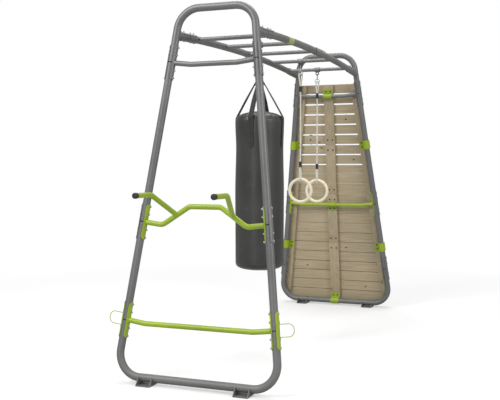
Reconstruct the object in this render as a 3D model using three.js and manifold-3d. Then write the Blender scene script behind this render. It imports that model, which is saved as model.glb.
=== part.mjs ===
// Climbing frame: two leaning tube frames joined by an arched ladder, with a dip bar,
// a boxing bag, two gym rings and a slatted climbing wall on the far frame.
// Millimetres, +Z up, +Y from the dip bar's frame to the wall's frame, origin on the ground.
import * as THREE from 'three';
import { mergeVertices } from 'three/addons/utils/BufferGeometryUtils.js';
import Module from 'manifold-3d';

const wasm = await Module();
wasm.setup();

// Driving sizes of the two frames. A height along a frame is measured up its slope from the
// centreline of its bottom tube. Each length of leg stands on the joint below it.
const FRAME_SPACING = 3228;
const FRAME_LEAN_ANGLE = THREE.MathUtils.degToRad(8.6);
const BASE_HALF_WIDTH = 544;
const LEG_ANGLE = THREE.MathUtils.degToRad(7);
const LOW_JOINT_HEIGHT = 350;
const LOWER_LEG_LENGTH = 624;
const UPPER_LEG_LENGTH = 1031;
const ARCH_RISE = 353;
const MID_JOINT_HEIGHT = LOW_JOINT_HEIGHT + LOWER_LEG_LENGTH;
const HIGH_JOINT_HEIGHT = MID_JOINT_HEIGHT + UPPER_LEG_LENGTH;
const TOP_TUBE_HEIGHT = HIGH_JOINT_HEIGHT + ARCH_RISE;
const CORNER_RADIUS = 145;
const TUBE_RADIUS = 25;
const TUBE_WALL = 2.5;
const TUBE_RISE = 40;

// Clearances: touching round pieces keep a seat gap, and plates keep a plate gap round a tube.
const SEAT_GAP = 0.3;
const PLATE_GAP = 0.6;
const JOIN_SINK = 0.2;
const CUT_OVERRUN = 20;

// Joint plates, plugs and bolts.
const PLATE_LENGTH = 230;
const PLATE_THICKNESS = 3;
const PLATE_END_ROUND = 18;
const PLATE_FACETS = 5;
const JOINT_GAP = 6;
const WEB_WIDTH = 20;
const WEB_REACH = TUBE_RADIUS + PLATE_GAP - JOIN_SINK / 2;
const WEB_FREE_LENGTH = 18;
const BOLT_NEAR_OFFSET = 50;
const BOLT_FAR_OFFSET = 100;
const BOLT_HEAD_RADIUS = 7;
const BOLT_HEAD_HEIGHT = 5;
const NUT_RADIUS = 7;
const NUT_HEIGHT = 11;

// Bars between the legs.
const BAR_RADIUS = 17;
const BAR_BEND_OFFSET = 140;
const BAR_BEND_RADIUS = 100;
const DIP_BEND_RADIUS = 60;
const DIP_TOP_HALF_WIDTH = 107;
const DIP_TOP_RISE = 102;
const HANDLE_RADIUS = 16;
const HANDLE_ROOT_HALF_WIDTH = 190;
const HANDLE_HALF_SPACING = 250;
const HANDLE_ELBOW_OFFSET = 249;
const HANDLE_ELBOW_RISE = 138;
const HANDLE_ELBOW_RADIUS = 55;
const GRIP_LENGTH = 192;
const CAP_RADIUS = 18;
const CAP_LENGTH = 24;
const CAP_WALL = 8;
const LOOP_WIRE_RADIUS = 2.5;
const LOOP_LENGTH = 90;
const LOOP_HALF_HEIGHT = 38;
const LOOP_BEND_RADIUS = 34;

// Feet.
const FOOT_CORNER_GAP = 8.1;
const FOOT_WIDTH = 96;
const FOOT_HALF_LENGTH = 68;
const FOOT_PLATE = 4;
const FOOT_TOP_HALF_LENGTH = 31;
const FOOT_GRIP = 10;

// Ladder.
const RAIL_JOIN_RISE = 179;
const RAIL_JOIN_HEIGHT = HIGH_JOINT_HEIGHT + RAIL_JOIN_RISE;
const RAIL_RISE = 40;
const RAIL_STUB_LENGTH = 162;
const RAIL_SPLICE_OFFSET = 73;
const RAIL_PLATE_LENGTH = 256;
const RUNG_RADIUS = 15;
const RUNG_END_INSET = 145.4;
const RUNG_COUNT = 5;
const MIDDLE_RUNG_INDEX = 2;
const RAIL_END_LENGTH = 130;

// Hangers on the rungs.
const COLLAR_THICKNESS = 6;
const COLLAR_WIDTH = 48;
const EYE_RADIUS = 13;
const EYE_WIRE_RADIUS = 4;
const EYE_STEPS = 10;
const LINK_WIRE_RADIUS = 3;
const LINK_GAP = 0.95;
const LINK_BEND_STEPS = 6;
const LINK_LENGTH = 35;

// Gym rings.
const RING_RUNGS = [3, 4];
const STEEL_RING_RADIUS = 18.5;
const STEEL_RING_WIRE_RADIUS = 3;
const ROPE_RADIUS = 6.5;
const ROPE_LOOP_FULLNESS_SHARE = 0.95;
const ROPE_LOOP_SLACK = 4.5;
const STRAND_GAP = 0.6;
const ADJUSTER_WALL = 2;
const ADJUSTER_CHAMFER = 3;
const ADJUSTER_HEIGHT = 47;
const UPPER_LOOP_LENGTH = 90.7;
const ROPE_RUN_LENGTH = 631;
const LOWER_LOOP_LENGTH = 135;
const ROPE_SPLAY_LENGTH = 35;
const ROPE_TAIL_LENGTH = 2;
const GYM_RING_OUTER_RADIUS = 108;
const GYM_RING_SECTION_RADIUS = 13;

// Boxing bag.
const BAG_RUNG_INDEX = 1;
const BAG_RADIUS = 182;
const BAG_LENGTH = 1094;
const BAG_CROWN_RISE = 44;
const BAG_EDGE_ROUND = 40;
const BAG_ROUND_SHARE = 0.3;
const BAG_RIM_INSET = 8;
const BAG_RIM_DROP = 28;
const BAG_WAIST_DEPTH = 6;
const BAG_SIDES = 24;
const STRAP_WIDTH = 38;
const STRAP_TOP_WIDTH = 17;
const STRAP_FOLD_SHARE = 0.45;
const STRAP_THICKNESS = 3;
const STRAP_TAIL_LENGTH = 215;
const STRAP_FLAP_LENGTH = 52;
const STRAP_FLAP_OPENING_LENGTH = 26;
const STRAP_COUNT = 4;
const STRAP_FALL_HEIGHT = 278.65;
const STEM_LENGTH = 64.7;
const HUB_HALF_WIDTH = 16;
const HUB_WIRE_RADIUS = 3;
const SWIVEL_RADIUS = 15;
const SWIVEL_LENGTH = 76;
const SWIVEL_CAVITY_RADIUS = 10.5;
const SWIVEL_END_THICKNESS = 10;
const STEM_RADIUS = 6;
const STEM_GAP = 0.8;
const STEM_HEAD_RADIUS = 9.5;
const STEM_HEAD_HEIGHT = 9;

// Climbing wall.
const PANEL_PLANK_COUNTS = [6, 5, 5, 6];
const PLANK_GAP = 13.5;
const CLOSE_PLANK_GAP = 4.5;
const CLOSE_PLANK_COUNT = 13;
const PLANK_THICKNESS = 22;
const WALL_BOTTOM = 5;
const WALL_TOP_RISE = 101;
const PANEL_GAP = 1;
const WALL_EDGE_OVERHANG = 7;
const CORNER_STEPS = 4;
const BATTEN_THICKNESS = 28;
const SIDE_BATTEN_INSET = 75;
const SIDE_BATTEN_WIDTH = 68;
const CENTRE_BEAM_WIDTH = 92;
const BEAM_BOLT_HALF_SPACING = 24;
const WOOD_BOLT_RADIUS = 6;
const WOOD_BOLT_HEIGHT = 3;
const WOOD_SHANK_RADIUS = 3;
const CLIP_THICKNESS = 3;
const CLIP_LENGTH = 80;
const CLIP_FLANGE = 44;
const CLIP_BOLT_OFFSET = 24;
const CLIP_BOLT_HALF_SPACING = 20;
const UPPER_SIDE_CLIP_RISE = 558;
const LOWER_SIDE_CLIP_RISE = 207;
const HOLD_RADIUS_SHARES = [0.61, 0.512, 0.561];
const HOLD_HEIGHTS = [42, 55, 36];
const HOLD_TOP_SHARES = [0.62, 0.5, 0.72];
const HOLD_SIDES = 8;
const HOLD_EDGE_SHARE = 0.25;
const HOLD_WAVE_SHARE = 0.12;
const HOLD_FEWEST_LOBES = 2;
const HOLD_ROWS = [1, 3, 5, 11, 14, 16, 18];
const HOLD_ACROSS_SHARES = [-0.56, 0.56, -0.24, 0.88, -0.58, 0.57, -0.47];

// Counts of facets.
const TUBE_SIDES = 12;
const BORE_SIDES = 6;
const BAR_SIDES = 10;
const CROSS_BAR_SIDES = 8;
const WIRE_SIDES = 6;
const NUT_SIDES = 4;
const ROPE_SIDES = 8;
const RING_STEPS = 24;
const BEND_STEP_ANGLE = THREE.MathUtils.degToRad(20);
const ROPE_STEP_ANGLE = THREE.MathUtils.degToRad(31);
const FOOT_STEPS = 6;
const CLIP_STEPS = 4;
const STRAP_TURN_STEPS = 3;

// Colours.
const GREY_PAINT = { color: 0x6f706e, roughness: 0.42, metalness: 0.35 };
const GREEN_PAINT = { color: 0x8fb02a, roughness: 0.38, metalness: 0.1 };
const BLACK_PLASTIC = { color: 0x1b1b1b, roughness: 0.6, metalness: 0 };
const BLACK_STEEL = { color: 0x2a2a2c, roughness: 0.45, metalness: 0.7 };
const ZINC = { color: 0xb4b5b3, roughness: 0.35, metalness: 0.9 };
const WOOD = { color: 0xa59674, roughness: 0.8, metalness: 0 };
const RING_CREAM = { color: 0xe3d9bb, roughness: 0.45, metalness: 0 };
const ROPE_WHITE = { color: 0xd8d3c6, roughness: 0.9, metalness: 0 };
const BAG_BLACK = { color: 0x3d3c3a, roughness: 0.55, metalness: 0 };
const WEBBING = { color: 0x2c2b28, roughness: 0.9, metalness: 0 };

const SIDES = [['left', -1], ['right', 1]];
const LEG_TAPER = Math.tan(LEG_ANGLE);
const HALF_TURN = Math.PI;
const EIGHTH_TURN = HALF_TURN / 4;
const WELD_DISTANCE = 1e-4;
const QUARTER_TURN = Math.PI / 2;

// A centreline with a station at each place where a pipe needs a ring of points, and no more.
class StationPath extends THREE.Curve {
  constructor(stations) {
    super();
    this.stations = stations;
  }
  station(share) {
    return this.stations[Math.round(share * (this.stations.length - 1))];
  }
  getPointAt(share, target = new THREE.Vector3()) {
    return target.copy(this.station(share).point);
  }
  getTangentAt(share, target = new THREE.Vector3()) {
    return target.copy(this.station(share).tangent);
  }
  // The same path, made longer at both ends.
  overrunBy(length) {
    const first = this.stations[0];
    const last = this.stations[this.stations.length - 1];
    const start = first.point.clone().addScaledVector(first.tangent, -length);
    const before = { point: start, tangent: first.tangent };
    const after = { point: last.point.clone().addScaledVector(last.tangent, length), tangent: last.tangent };
    return new StationPath([before, ...this.stations, after]);
  }
}

// Straight runs between corners, with a round bend at each inner corner. The bends share one
// radius or have a list of their own, where a radius of zero is a plain kink.
function bentPath(corners, bendRadii, stepAngle = BEND_STEP_ANGLE) {
  const last = corners.length - 1;
  const directions = [];
  for (let i = 0; i < last; i += 1) {
    directions.push(corners[i + 1].clone().sub(corners[i]).normalize());
  }
  const stations = [{ point: corners[0], tangent: directions[0] }];
  for (let i = 1; i < last; i += 1) {
    const before = directions[i - 1];
    const after = directions[i];
    const turn = before.angleTo(after);
    const bendRadius = Array.isArray(bendRadii) ? bendRadii[i - 1] : bendRadii;
    if (bendRadius === 0) {
      stations.push({ point: corners[i], tangent: before.clone().add(after).normalize() });
      continue;
    }
    const setback = bendRadius * Math.tan(turn / 2);
    const start = corners[i].clone().addScaledVector(before, -setback);
    const axis = before.clone().cross(after).normalize();
    const toCentre = axis.clone().cross(before).multiplyScalar(bendRadius);
    const centre = start.clone().add(toCentre);
    const steps = Math.ceil(turn / stepAngle);
    for (let step = 0; step <= steps; step += 1) {
      const angle = turn * step / steps;
      const arm = toCentre.clone().negate().applyAxisAngle(axis, angle);
      const tangent = before.clone().applyAxisAngle(axis, angle);
      stations.push({ point: centre.clone().add(arm), tangent });
    }
  }
  stations.push({ point: corners[last], tangent: directions[last - 1] });
  return new StationPath(stations);
}

function polygonPoints(radius, sides) {
  const points = [];
  for (let i = 0; i < sides; i += 1) {
    const angle = (i + 0.5) * 2 * HALF_TURN / sides;
    points.push(new THREE.Vector2(radius * Math.cos(angle), radius * Math.sin(angle)));
  }
  return points;
}

function ringShape(radius, boreRadius, sides, boreSides) {
  const shape = new THREE.Shape(polygonPoints(radius, sides));
  if (boreRadius > 0) {
    shape.holes.push(new THREE.Path(polygonPoints(boreRadius, boreSides).reverse()));
  }
  return shape;
}

// A round pipe along a station path, hollow where it is given a bore.
function pipe(path, radius, boreRadius, sides = TUBE_SIDES, boreSides = BORE_SIDES) {
  return new THREE.ExtrudeGeometry(ringShape(radius, boreRadius, sides, boreSides), {
    steps: path.stations.length - 1,
    extrudePath: path,
    bevelEnabled: false,
  });
}

// A closed ring of wire in the XZ plane, centred on the origin.
function wireRing(radius, wireRadius, around, sides) {
  return new THREE.TorusGeometry(radius, wireRadius, sides, around).rotateX(QUARTER_TURN);
}

// A solid of revolution about +Z from radius and height pairs that start and end on the axis.
function turned(profile, sides) {
  const points = profile.map(([radius, height]) => new THREE.Vector2(radius, height));
  return new THREE.LatheGeometry(points, sides).rotateX(QUARTER_TURN);
}

// A prism of a flat outline in the XY plane, centred on its thickness along Z.
function slab(points, thickness) {
  const shape = new THREE.Shape(points.map(([x, y]) => new THREE.Vector2(x, y)));
  const prism = new THREE.ExtrudeGeometry(shape, { depth: thickness, bevelEnabled: false });
  return prism.translate(0, 0, -thickness / 2);
}

// The outline of a bent strip of even thickness along a line of flat points.
function stripOutline(line, thickness) {
  const last = line.length - 1;
  const normals = [];
  for (let i = 0; i < last; i += 1) {
    const along = line[i + 1].clone().sub(line[i]).normalize();
    normals.push(new THREE.Vector2(-along.y, along.x));
  }
  const near = [];
  const far = [];
  for (let i = 0; i <= last; i += 1) {
    const before = normals[Math.max(i - 1, 0)];
    const after = normals[Math.min(i, last - 1)];
    const mitre = before.clone().add(after).divideScalar(1 + before.dot(after));
    near.push(line[i].clone().addScaledVector(mitre, thickness / 2));
    far.push(line[i].clone().addScaledVector(mitre, -thickness / 2));
  }
  return [...near, ...far.reverse()].map((point) => [point.x, point.y]);
}

function toManifold(geometry) {
  const bare = geometry.clone();
  bare.deleteAttribute('normal');
  bare.deleteAttribute('uv');
  const merged = mergeVertices(bare, WELD_DISTANCE);
  const mesh = new wasm.Mesh({
    numProp: 3,
    vertProperties: new Float32Array(merged.attributes.position.array),
    triVerts: new Uint32Array(merged.index.array),
  });
  return new wasm.Manifold(mesh);
}

function fromManifold(solid) {
  const mesh = solid.getMesh();
  const geometry = new THREE.BufferGeometry();
  geometry.setAttribute('position', new THREE.BufferAttribute(mesh.vertProperties.slice(), 3));
  geometry.setIndex(new THREE.BufferAttribute(mesh.triVerts.slice(), 1));
  return geometry;
}

function joined(first, ...others) {
  let solid = toManifold(first);
  for (const other of others) {
    solid = solid.add(toManifold(other));
  }
  return fromManifold(solid);
}

function cut(body, ...cutters) {
  let solid = toManifold(body);
  for (const cutter of cutters) {
    solid = solid.subtract(toManifold(cutter));
  }
  return fromManifold(solid);
}

const assembly = new THREE.Group();
const frontFrame = new THREE.Group();
const rearFrame = new THREE.Group();

function addMesh(group, name, geometry, finish) {
  const material = new THREE.MeshStandardMaterial(finish);
  geometry.computeVertexNormals();
  const mesh = new THREE.Mesh(geometry, material);
  mesh.name = name;
  group.add(mesh);
  return mesh;
}

// Each frame is drawn flat: x across, y up its slope, z out of its outer face.
frontFrame.rotation.x = QUARTER_TURN - FRAME_LEAN_ANGLE;
frontFrame.position.set(0, -FRAME_SPACING / 2, TUBE_RISE);
const rearTilt = new THREE.Group();
rearTilt.rotation.z = HALF_TURN;
rearTilt.position.set(0, FRAME_SPACING / 2, TUBE_RISE);
rearFrame.rotation.x = QUARTER_TURN - FRAME_LEAN_ANGLE;
rearTilt.add(rearFrame);
assembly.add(frontFrame, rearTilt);
assembly.updateMatrixWorld(true);

// How far a bend of the bottom tube takes up each of the two runs that it joins.
const CORNER_SETBACK = CORNER_RADIUS * Math.tan((QUARTER_TURN + LEG_ANGLE) / 2);

function legX(height) {
  return BASE_HALF_WIDTH - height * LEG_TAPER;
}

function legPoint(side, height) {
  return new THREE.Vector3(side * legX(height), height, 0);
}

// Moves a piece that is drawn round the right leg's axis to a place on either leg.
function onLeg(geometry, side, height) {
  const placed = geometry.clone();
  if (side < 0) {
    placed.rotateY(HALF_TURN);
  }
  placed.rotateZ(side * LEG_ANGLE);
  const place = legPoint(side, height);
  return placed.translate(place.x, place.y, place.z);
}

// A strip that wraps part of a tube, centred on +X and along Y, with half a facet at each edge.
// Its ends are rounded: each corner line stops the shorter, the further round the tube it lies.
function shellPlate(length) {
  const facet = 2 * HALF_TURN / TUBE_SIDES;
  const widest = facet * (PLATE_FACETS - 1) / 2;
  const innerRadius = TUBE_RADIUS + PLATE_GAP;
  const corners = [];
  for (let i = 0; i <= PLATE_FACETS; i += 1) {
    const whole = (i - PLATE_FACETS / 2) * facet;
    const angle = THREE.MathUtils.clamp(whole, -widest, widest);
    const reach = whole === angle ? 1 : Math.cos(facet / 2);
    corners.push(new THREE.Vector2(reach * Math.cos(angle), reach * Math.sin(angle)));
  }
  const outline = [
    ...corners.map((corner) => corner.clone().multiplyScalar(innerRadius + PLATE_THICKNESS)),
    ...corners.map((corner) => corner.clone().multiplyScalar(innerRadius)).reverse(),
  ];
  const plate = new THREE.ExtrudeGeometry(new THREE.Shape(outline), { depth: length, bevelEnabled: false });
  plate.translate(0, 0, -length / 2);
  const position = plate.attributes.position;
  for (let i = 0; i < position.count; i += 1) {
    const angle = Math.atan2(position.getY(i), position.getX(i));
    const end = length / 2 - PLATE_END_ROUND * (angle / widest) ** 2;
    position.setZ(i, Math.sign(position.getZ(i)) * end);
  }
  return plate.rotateX(-QUARTER_TURN);
}

const BOLT_OFFSETS = [-BOLT_FAR_OFFSET, -BOLT_NEAR_OFFSET, BOLT_NEAR_OFFSET, BOLT_FAR_OFFSET];
const PLATE_REACH = TUBE_RADIUS + PLATE_GAP + PLATE_THICKNESS;
const PLATE_FACE = PLATE_REACH * Math.cos(HALF_TURN / TUBE_SIDES) - JOIN_SINK;

// The four bolts of a joint at +X: their heads, or their nuts with the threads' ends.
function boltHeads() {
  const head = new THREE.CylinderGeometry(BOLT_HEAD_RADIUS, BOLT_HEAD_RADIUS, BOLT_HEAD_HEIGHT, WIRE_SIDES);
  head.rotateZ(QUARTER_TURN).translate(PLATE_FACE + BOLT_HEAD_HEIGHT / 2, 0, 0);
  return BOLT_OFFSETS.map((offset) => head.clone().translate(0, offset, 0));
}

function nuts() {
  const nut = new THREE.CylinderGeometry(NUT_RADIUS, NUT_RADIUS, NUT_HEIGHT, NUT_SIDES);
  nut.rotateZ(QUARTER_TURN).translate(PLATE_FACE + NUT_HEIGHT / 2, 0, 0);
  return BOLT_OFFSETS.map((offset) => nut.clone().translate(0, offset, 0));
}

function facingIn(geometry) {
  return geometry.clone().rotateY(HALF_TURN);
}

// The web between two tube ends, from the plate at -X to a reach at +X.
function web(reach) {
  const length = WEB_REACH + reach;
  const box = new THREE.BoxGeometry(length, JOINT_GAP - 2 * SEAT_GAP, WEB_WIDTH);
  return box.translate(reach - length / 2, 0, 0);
}

// Half of a tube joint: its plate and its bolts' heads at +X.
function headPlate(length) {
  return joined(shellPlate(length), ...boltHeads());
}

// The other half: its plate and nuts at -X, with the web between the tubes.
function nutPlate(length) {
  return joined(facingIn(shellPlate(length)), ...nuts().map(facingIn), web(WEB_FREE_LENGTH));
}

// A whole coupler, both halves joined through the web.
function coupler(length) {
  return joined(nutPlate(length), headPlate(length), web(WEB_REACH));
}

// Tubes of one frame: a bottom loop, two legs in two lengths each, and a top arch.
function baseTube() {
  const top = LOW_JOINT_HEIGHT - JOINT_GAP / 2;
  const corners = [legPoint(-1, top), legPoint(-1, 0), legPoint(1, 0), legPoint(1, top)];
  return pipe(bentPath(corners, CORNER_RADIUS), TUBE_RADIUS, TUBE_RADIUS - TUBE_WALL);
}

function legTube(side, from, to) {
  const ends = [legPoint(side, from + JOINT_GAP / 2), legPoint(side, to - JOINT_GAP / 2)];
  return pipe(bentPath(ends, CORNER_RADIUS), TUBE_RADIUS, TUBE_RADIUS - TUBE_WALL);
}

function railHalfSpan() {
  return FRAME_SPACING / 2 - RAIL_JOIN_HEIGHT * Math.sin(FRAME_LEAN_ANGLE);
}

function railHeight(y) {
  const ends = TUBE_RISE + RAIL_JOIN_HEIGHT * Math.cos(FRAME_LEAN_ANGLE);
  return ends + RAIL_RISE * (1 - (y / railHalfSpan()) ** 2);
}

const RAIL_X = legX(RAIL_JOIN_HEIGHT);

function railSlope(y) {
  return -2 * RAIL_RISE * y / railHalfSpan() ** 2;
}

function railPath(x, places) {
  const direction = Math.sign(places[1] - places[0]);
  return new StationPath(places.map((y) => ({
    point: new THREE.Vector3(x, y, railHeight(y)),
    tangent: new THREE.Vector3(0, direction, direction * railSlope(y)).normalize(),
  })));
}

function topArch(frame) {
  const low = HIGH_JOINT_HEIGHT + JOINT_GAP / 2;
  const heights = [low, TOP_TUBE_HEIGHT, TOP_TUBE_HEIGHT, low];
  const corners = heights.map((height, i) => legPoint(i < 2 ? -1 : 1, height));
  const path = bentPath(corners, CORNER_RADIUS);
  const toFrame = frame.matrixWorld.clone().invert();
  const direction = frame === frontFrame ? -1 : 1;
  const from = direction * railHalfSpan();
  const to = direction * (railHalfSpan() - RAIL_STUB_LENGTH + JOINT_GAP / 2);
  const stubs = SIDES.map(([, side]) => {
    const stub = pipe(railPath(side * RAIL_X, [from, to]), TUBE_RADIUS, 0);
    return stub.applyMatrix4(toFrame);
  });
  const bore = pipe(path.overrunBy(CUT_OVERRUN), TUBE_RADIUS - TUBE_WALL, 0, BORE_SIDES);
  return cut(joined(pipe(path, TUBE_RADIUS, 0), ...stubs), bore);
}

// The place a given reach inside a leg's joint, square to the leg.
function insideJoint(side, height, reach) {
  const place = legPoint(side, height);
  place.x -= side * reach * Math.cos(LEG_ANGLE);
  place.y -= reach * Math.sin(LEG_ANGLE);
  return place;
}

const HEAD_PLATE = headPlate(PLATE_LENGTH);
const NUT_PLATE = nutPlate(PLATE_LENGTH);
const COUPLER = coupler(PLATE_LENGTH);
const END_HOLLOW = pipe(
  bentPath([new THREE.Vector3(0, -PLATE_LENGTH / 2, 0), new THREE.Vector3(0, PLATE_LENGTH / 2, 0)], 0),
  TUBE_RADIUS + PLATE_GAP + PLATE_THICKNESS / 2,
  0,
);

// A bar with its ends hollowed to the legs and welded to a joint piece at each end.
function weldedBar(route, sides, height, jointPiece, welded = []) {
  const bar = joined(pipe(route, BAR_RADIUS, 0, sides), ...welded);
  const hollows = SIDES.map(([, side]) => onLeg(END_HOLLOW, side, height));
  const ends = SIDES.map(([, side]) => onLeg(jointPiece, side, height));
  return joined(cut(bar, ...hollows), ...ends);
}

function crossBar(height, jointPiece) {
  const corners = [
    insideJoint(-1, height, WEB_WIDTH / 2),
    insideJoint(-1, height, BAR_BEND_OFFSET),
    insideJoint(1, height, BAR_BEND_OFFSET),
    insideJoint(1, height, WEB_WIDTH / 2),
  ];
  return weldedBar(bentPath(corners, BAR_BEND_RADIUS), CROSS_BAR_SIDES, height, jointPiece);
}

// The place of a dip bar handle's elbow, and its level direction away from the frame.
function handleElbow(side) {
  const up = HANDLE_ELBOW_RISE * Math.cos(FRAME_LEAN_ANGLE);
  const down = HANDLE_ELBOW_OFFSET * Math.sin(FRAME_LEAN_ANGLE);
  return new THREE.Vector3(side * HANDLE_HALF_SPACING, handleRoot(side).y + up - down, HANDLE_ELBOW_OFFSET);
}

function handleRoot(side) {
  const bend = insideJoint(side, MID_JOINT_HEIGHT, BAR_BEND_OFFSET);
  const run = Math.abs(bend.x) - DIP_TOP_HALF_WIDTH;
  const share = (Math.abs(bend.x) - HANDLE_ROOT_HALF_WIDTH) / run;
  return new THREE.Vector3(side * HANDLE_ROOT_HALF_WIDTH, bend.y + share * (dipTopHeight() - bend.y), 0);
}

function dipTopHeight() {
  return MID_JOINT_HEIGHT + DIP_TOP_RISE;
}

const OUTWARD = new THREE.Vector3(0, -Math.sin(FRAME_LEAN_ANGLE), Math.cos(FRAME_LEAN_ANGLE));

function handleEnd(side) {
  return handleElbow(side).addScaledVector(OUTWARD, GRIP_LENGTH);
}

function dipBar() {
  const height = MID_JOINT_HEIGHT;
  const corners = [
    insideJoint(-1, height, WEB_WIDTH / 2),
    insideJoint(-1, height, BAR_BEND_OFFSET),
    new THREE.Vector3(-DIP_TOP_HALF_WIDTH, dipTopHeight(), 0),
    new THREE.Vector3(DIP_TOP_HALF_WIDTH, dipTopHeight(), 0),
    insideJoint(1, height, BAR_BEND_OFFSET),
    insideJoint(1, height, WEB_WIDTH / 2),
  ];
  const handles = SIDES.map(([, side]) => {
    const route = bentPath([handleRoot(side), handleElbow(side), handleEnd(side)], HANDLE_ELBOW_RADIUS);
    return pipe(route, HANDLE_RADIUS, 0, BAR_SIDES);
  });
  return weldedBar(bentPath(corners, DIP_BEND_RADIUS), BAR_SIDES, height, NUT_PLATE, handles);
}

// A plastic cup over a handle's end.
function handleCap(side) {
  const inner = HANDLE_RADIUS + SEAT_GAP;
  const profile = [
    [0, 0],
    [CAP_RADIUS, 0],
    [CAP_RADIUS, CAP_LENGTH],
    [inner, CAP_LENGTH],
    [inner, CAP_WALL],
    [0, CAP_WALL],
  ];
  const end = handleEnd(side).addScaledVector(OUTWARD, CAP_WALL + SEAT_GAP);
  const turnDown = new THREE.Quaternion().setFromUnitVectors(new THREE.Vector3(0, 0, -1), OUTWARD);
  return turned(profile, BAR_SIDES).applyQuaternion(turnDown).translate(end.x, end.y, end.z);
}

// The low bar's joint: a whole coupler with a wire loop for exercise bands on its outside.
function loopCoupler() {
  const tip = PLATE_FACE + LOOP_LENGTH;
  const corners = [
    new THREE.Vector3(PLATE_FACE, -LOOP_HALF_HEIGHT, 0),
    new THREE.Vector3(tip, -LOOP_HALF_HEIGHT, 0),
    new THREE.Vector3(tip, LOOP_HALF_HEIGHT, 0),
    new THREE.Vector3(PLATE_FACE, LOOP_HALF_HEIGHT, 0),
  ];
  return joined(COUPLER, pipe(bentPath(corners, LOOP_BEND_RADIUS), LOOP_WIRE_RADIUS, 0, WIRE_SIDES));
}

function buildFrame(frame, prefix, sideNames) {
  addMesh(frame, `${prefix}_base_tube`, baseTube(), GREY_PAINT);
  for (const [name, side] of sideNames) {
    const lowerLeg = legTube(side, LOW_JOINT_HEIGHT, MID_JOINT_HEIGHT);
    const upperLeg = legTube(side, MID_JOINT_HEIGHT, HIGH_JOINT_HEIGHT);
    addMesh(frame, `${prefix}_lower_leg_${name}`, lowerLeg, GREY_PAINT);
    addMesh(frame, `${prefix}_upper_leg_${name}`, upperLeg, GREY_PAINT);
    addMesh(frame, `${prefix}_mid_plate_${name}`, onLeg(HEAD_PLATE, side, MID_JOINT_HEIGHT), GREY_PAINT);
  }
  addMesh(frame, `${prefix}_top_arch`, topArch(frame), GREY_PAINT);
  addMesh(frame, `${prefix}_top_bar`, crossBar(HIGH_JOINT_HEIGHT, COUPLER), GREY_PAINT);
}

buildFrame(frontFrame, 'front', SIDES);
addMesh(frontFrame, 'front_low_bar', crossBar(LOW_JOINT_HEIGHT, loopCoupler()), GREEN_PAINT);
addMesh(frontFrame, 'dip_bar', dipBar(), GREEN_PAINT);
for (const [name, side] of SIDES) {
  addMesh(frontFrame, `dip_handle_cap_${name}`, handleCap(side), BLACK_PLASTIC);
}

// The rear frame is turned half round, so its drawn left is the assembly's right.
const REAR_SIDES = [['left', 1], ['right', -1]];
buildFrame(rearFrame, 'rear', REAR_SIDES);
addMesh(rearFrame, 'rear_mid_bar', crossBar(MID_JOINT_HEIGHT, NUT_PLATE), GREEN_PAINT);
for (const [name, side] of REAR_SIDES) {
  addMesh(rearFrame, `rear_low_coupler_${name}`, onLeg(COUPLER, side, LOW_JOINT_HEIGHT), GREY_PAINT);
}

// A foot: a base plate with two side walls whose notches hold the bottom tube.
function foot() {
  const notch = TUBE_RADIUS + SEAT_GAP;
  const topHeight = TUBE_RISE + FOOT_GRIP;
  const startAngle = Math.asin(FOOT_GRIP / notch);
  const outline = [[FOOT_HALF_LENGTH, 0], [FOOT_HALF_LENGTH, FOOT_PLATE], [FOOT_TOP_HALF_LENGTH, topHeight]];
  const sweep = HALF_TURN + 2 * startAngle;
  const clear = notch / Math.cos(sweep / FOOT_STEPS / 2);
  for (let i = 0; i <= FOOT_STEPS; i += 1) {
    const angle = startAngle - sweep * i / FOOT_STEPS;
    outline.push([clear * Math.cos(angle), TUBE_RISE + clear * Math.sin(angle)]);
  }
  outline.push([-FOOT_TOP_HALF_LENGTH, topHeight], [-FOOT_HALF_LENGTH, FOOT_PLATE], [-FOOT_HALF_LENGTH, 0]);
  const wall = slab(outline, FOOT_PLATE).rotateX(QUARTER_TURN).rotateZ(QUARTER_TURN);
  const wallX = FOOT_WIDTH / 2 - FOOT_PLATE / 2;
  const plate = new THREE.BoxGeometry(FOOT_WIDTH, 2 * FOOT_HALF_LENGTH, FOOT_PLATE);
  plate.translate(0, 0, FOOT_PLATE / 2);
  return joined(plate, wall.clone().translate(wallX, 0, 0), wall.clone().translate(-wallX, 0, 0));
}

const FOOT = foot();
const FOOT_OFFSET = BASE_HALF_WIDTH - CORNER_SETBACK - FOOT_CORNER_GAP - FOOT_WIDTH / 2;
for (const [prefix, y] of [['front', -FRAME_SPACING / 2], ['rear', FRAME_SPACING / 2]]) {
  for (const [name, side] of SIDES) {
    const pad = FOOT.clone().translate(side * FOOT_OFFSET, y, 0);
    addMesh(assembly, `${prefix}_foot_${name}`, pad, GREY_PAINT);
  }
}

// The ladder in two welded halves: rails with rungs between them, and the bores through.
const RAIL_END_Y = railHalfSpan() - RAIL_STUB_LENGTH;
const RUNG_SPACING = 2 * (RAIL_END_Y - RUNG_END_INSET) / (RUNG_COUNT - 1);

function rungY(index) {
  return (index - (RUNG_COUNT - 1) / 2) * RUNG_SPACING;
}

function rung(index, halfLength) {
  const y = rungY(index);
  const phase = HALF_TURN / CROSS_BAR_SIDES;
  const length = 2 * halfLength;
  const bar = new THREE.CylinderGeometry(RUNG_RADIUS, RUNG_RADIUS, length, CROSS_BAR_SIDES, 1, false, phase);
  return bar.rotateZ(QUARTER_TURN).translate(0, y, railHeight(y));
}

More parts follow.
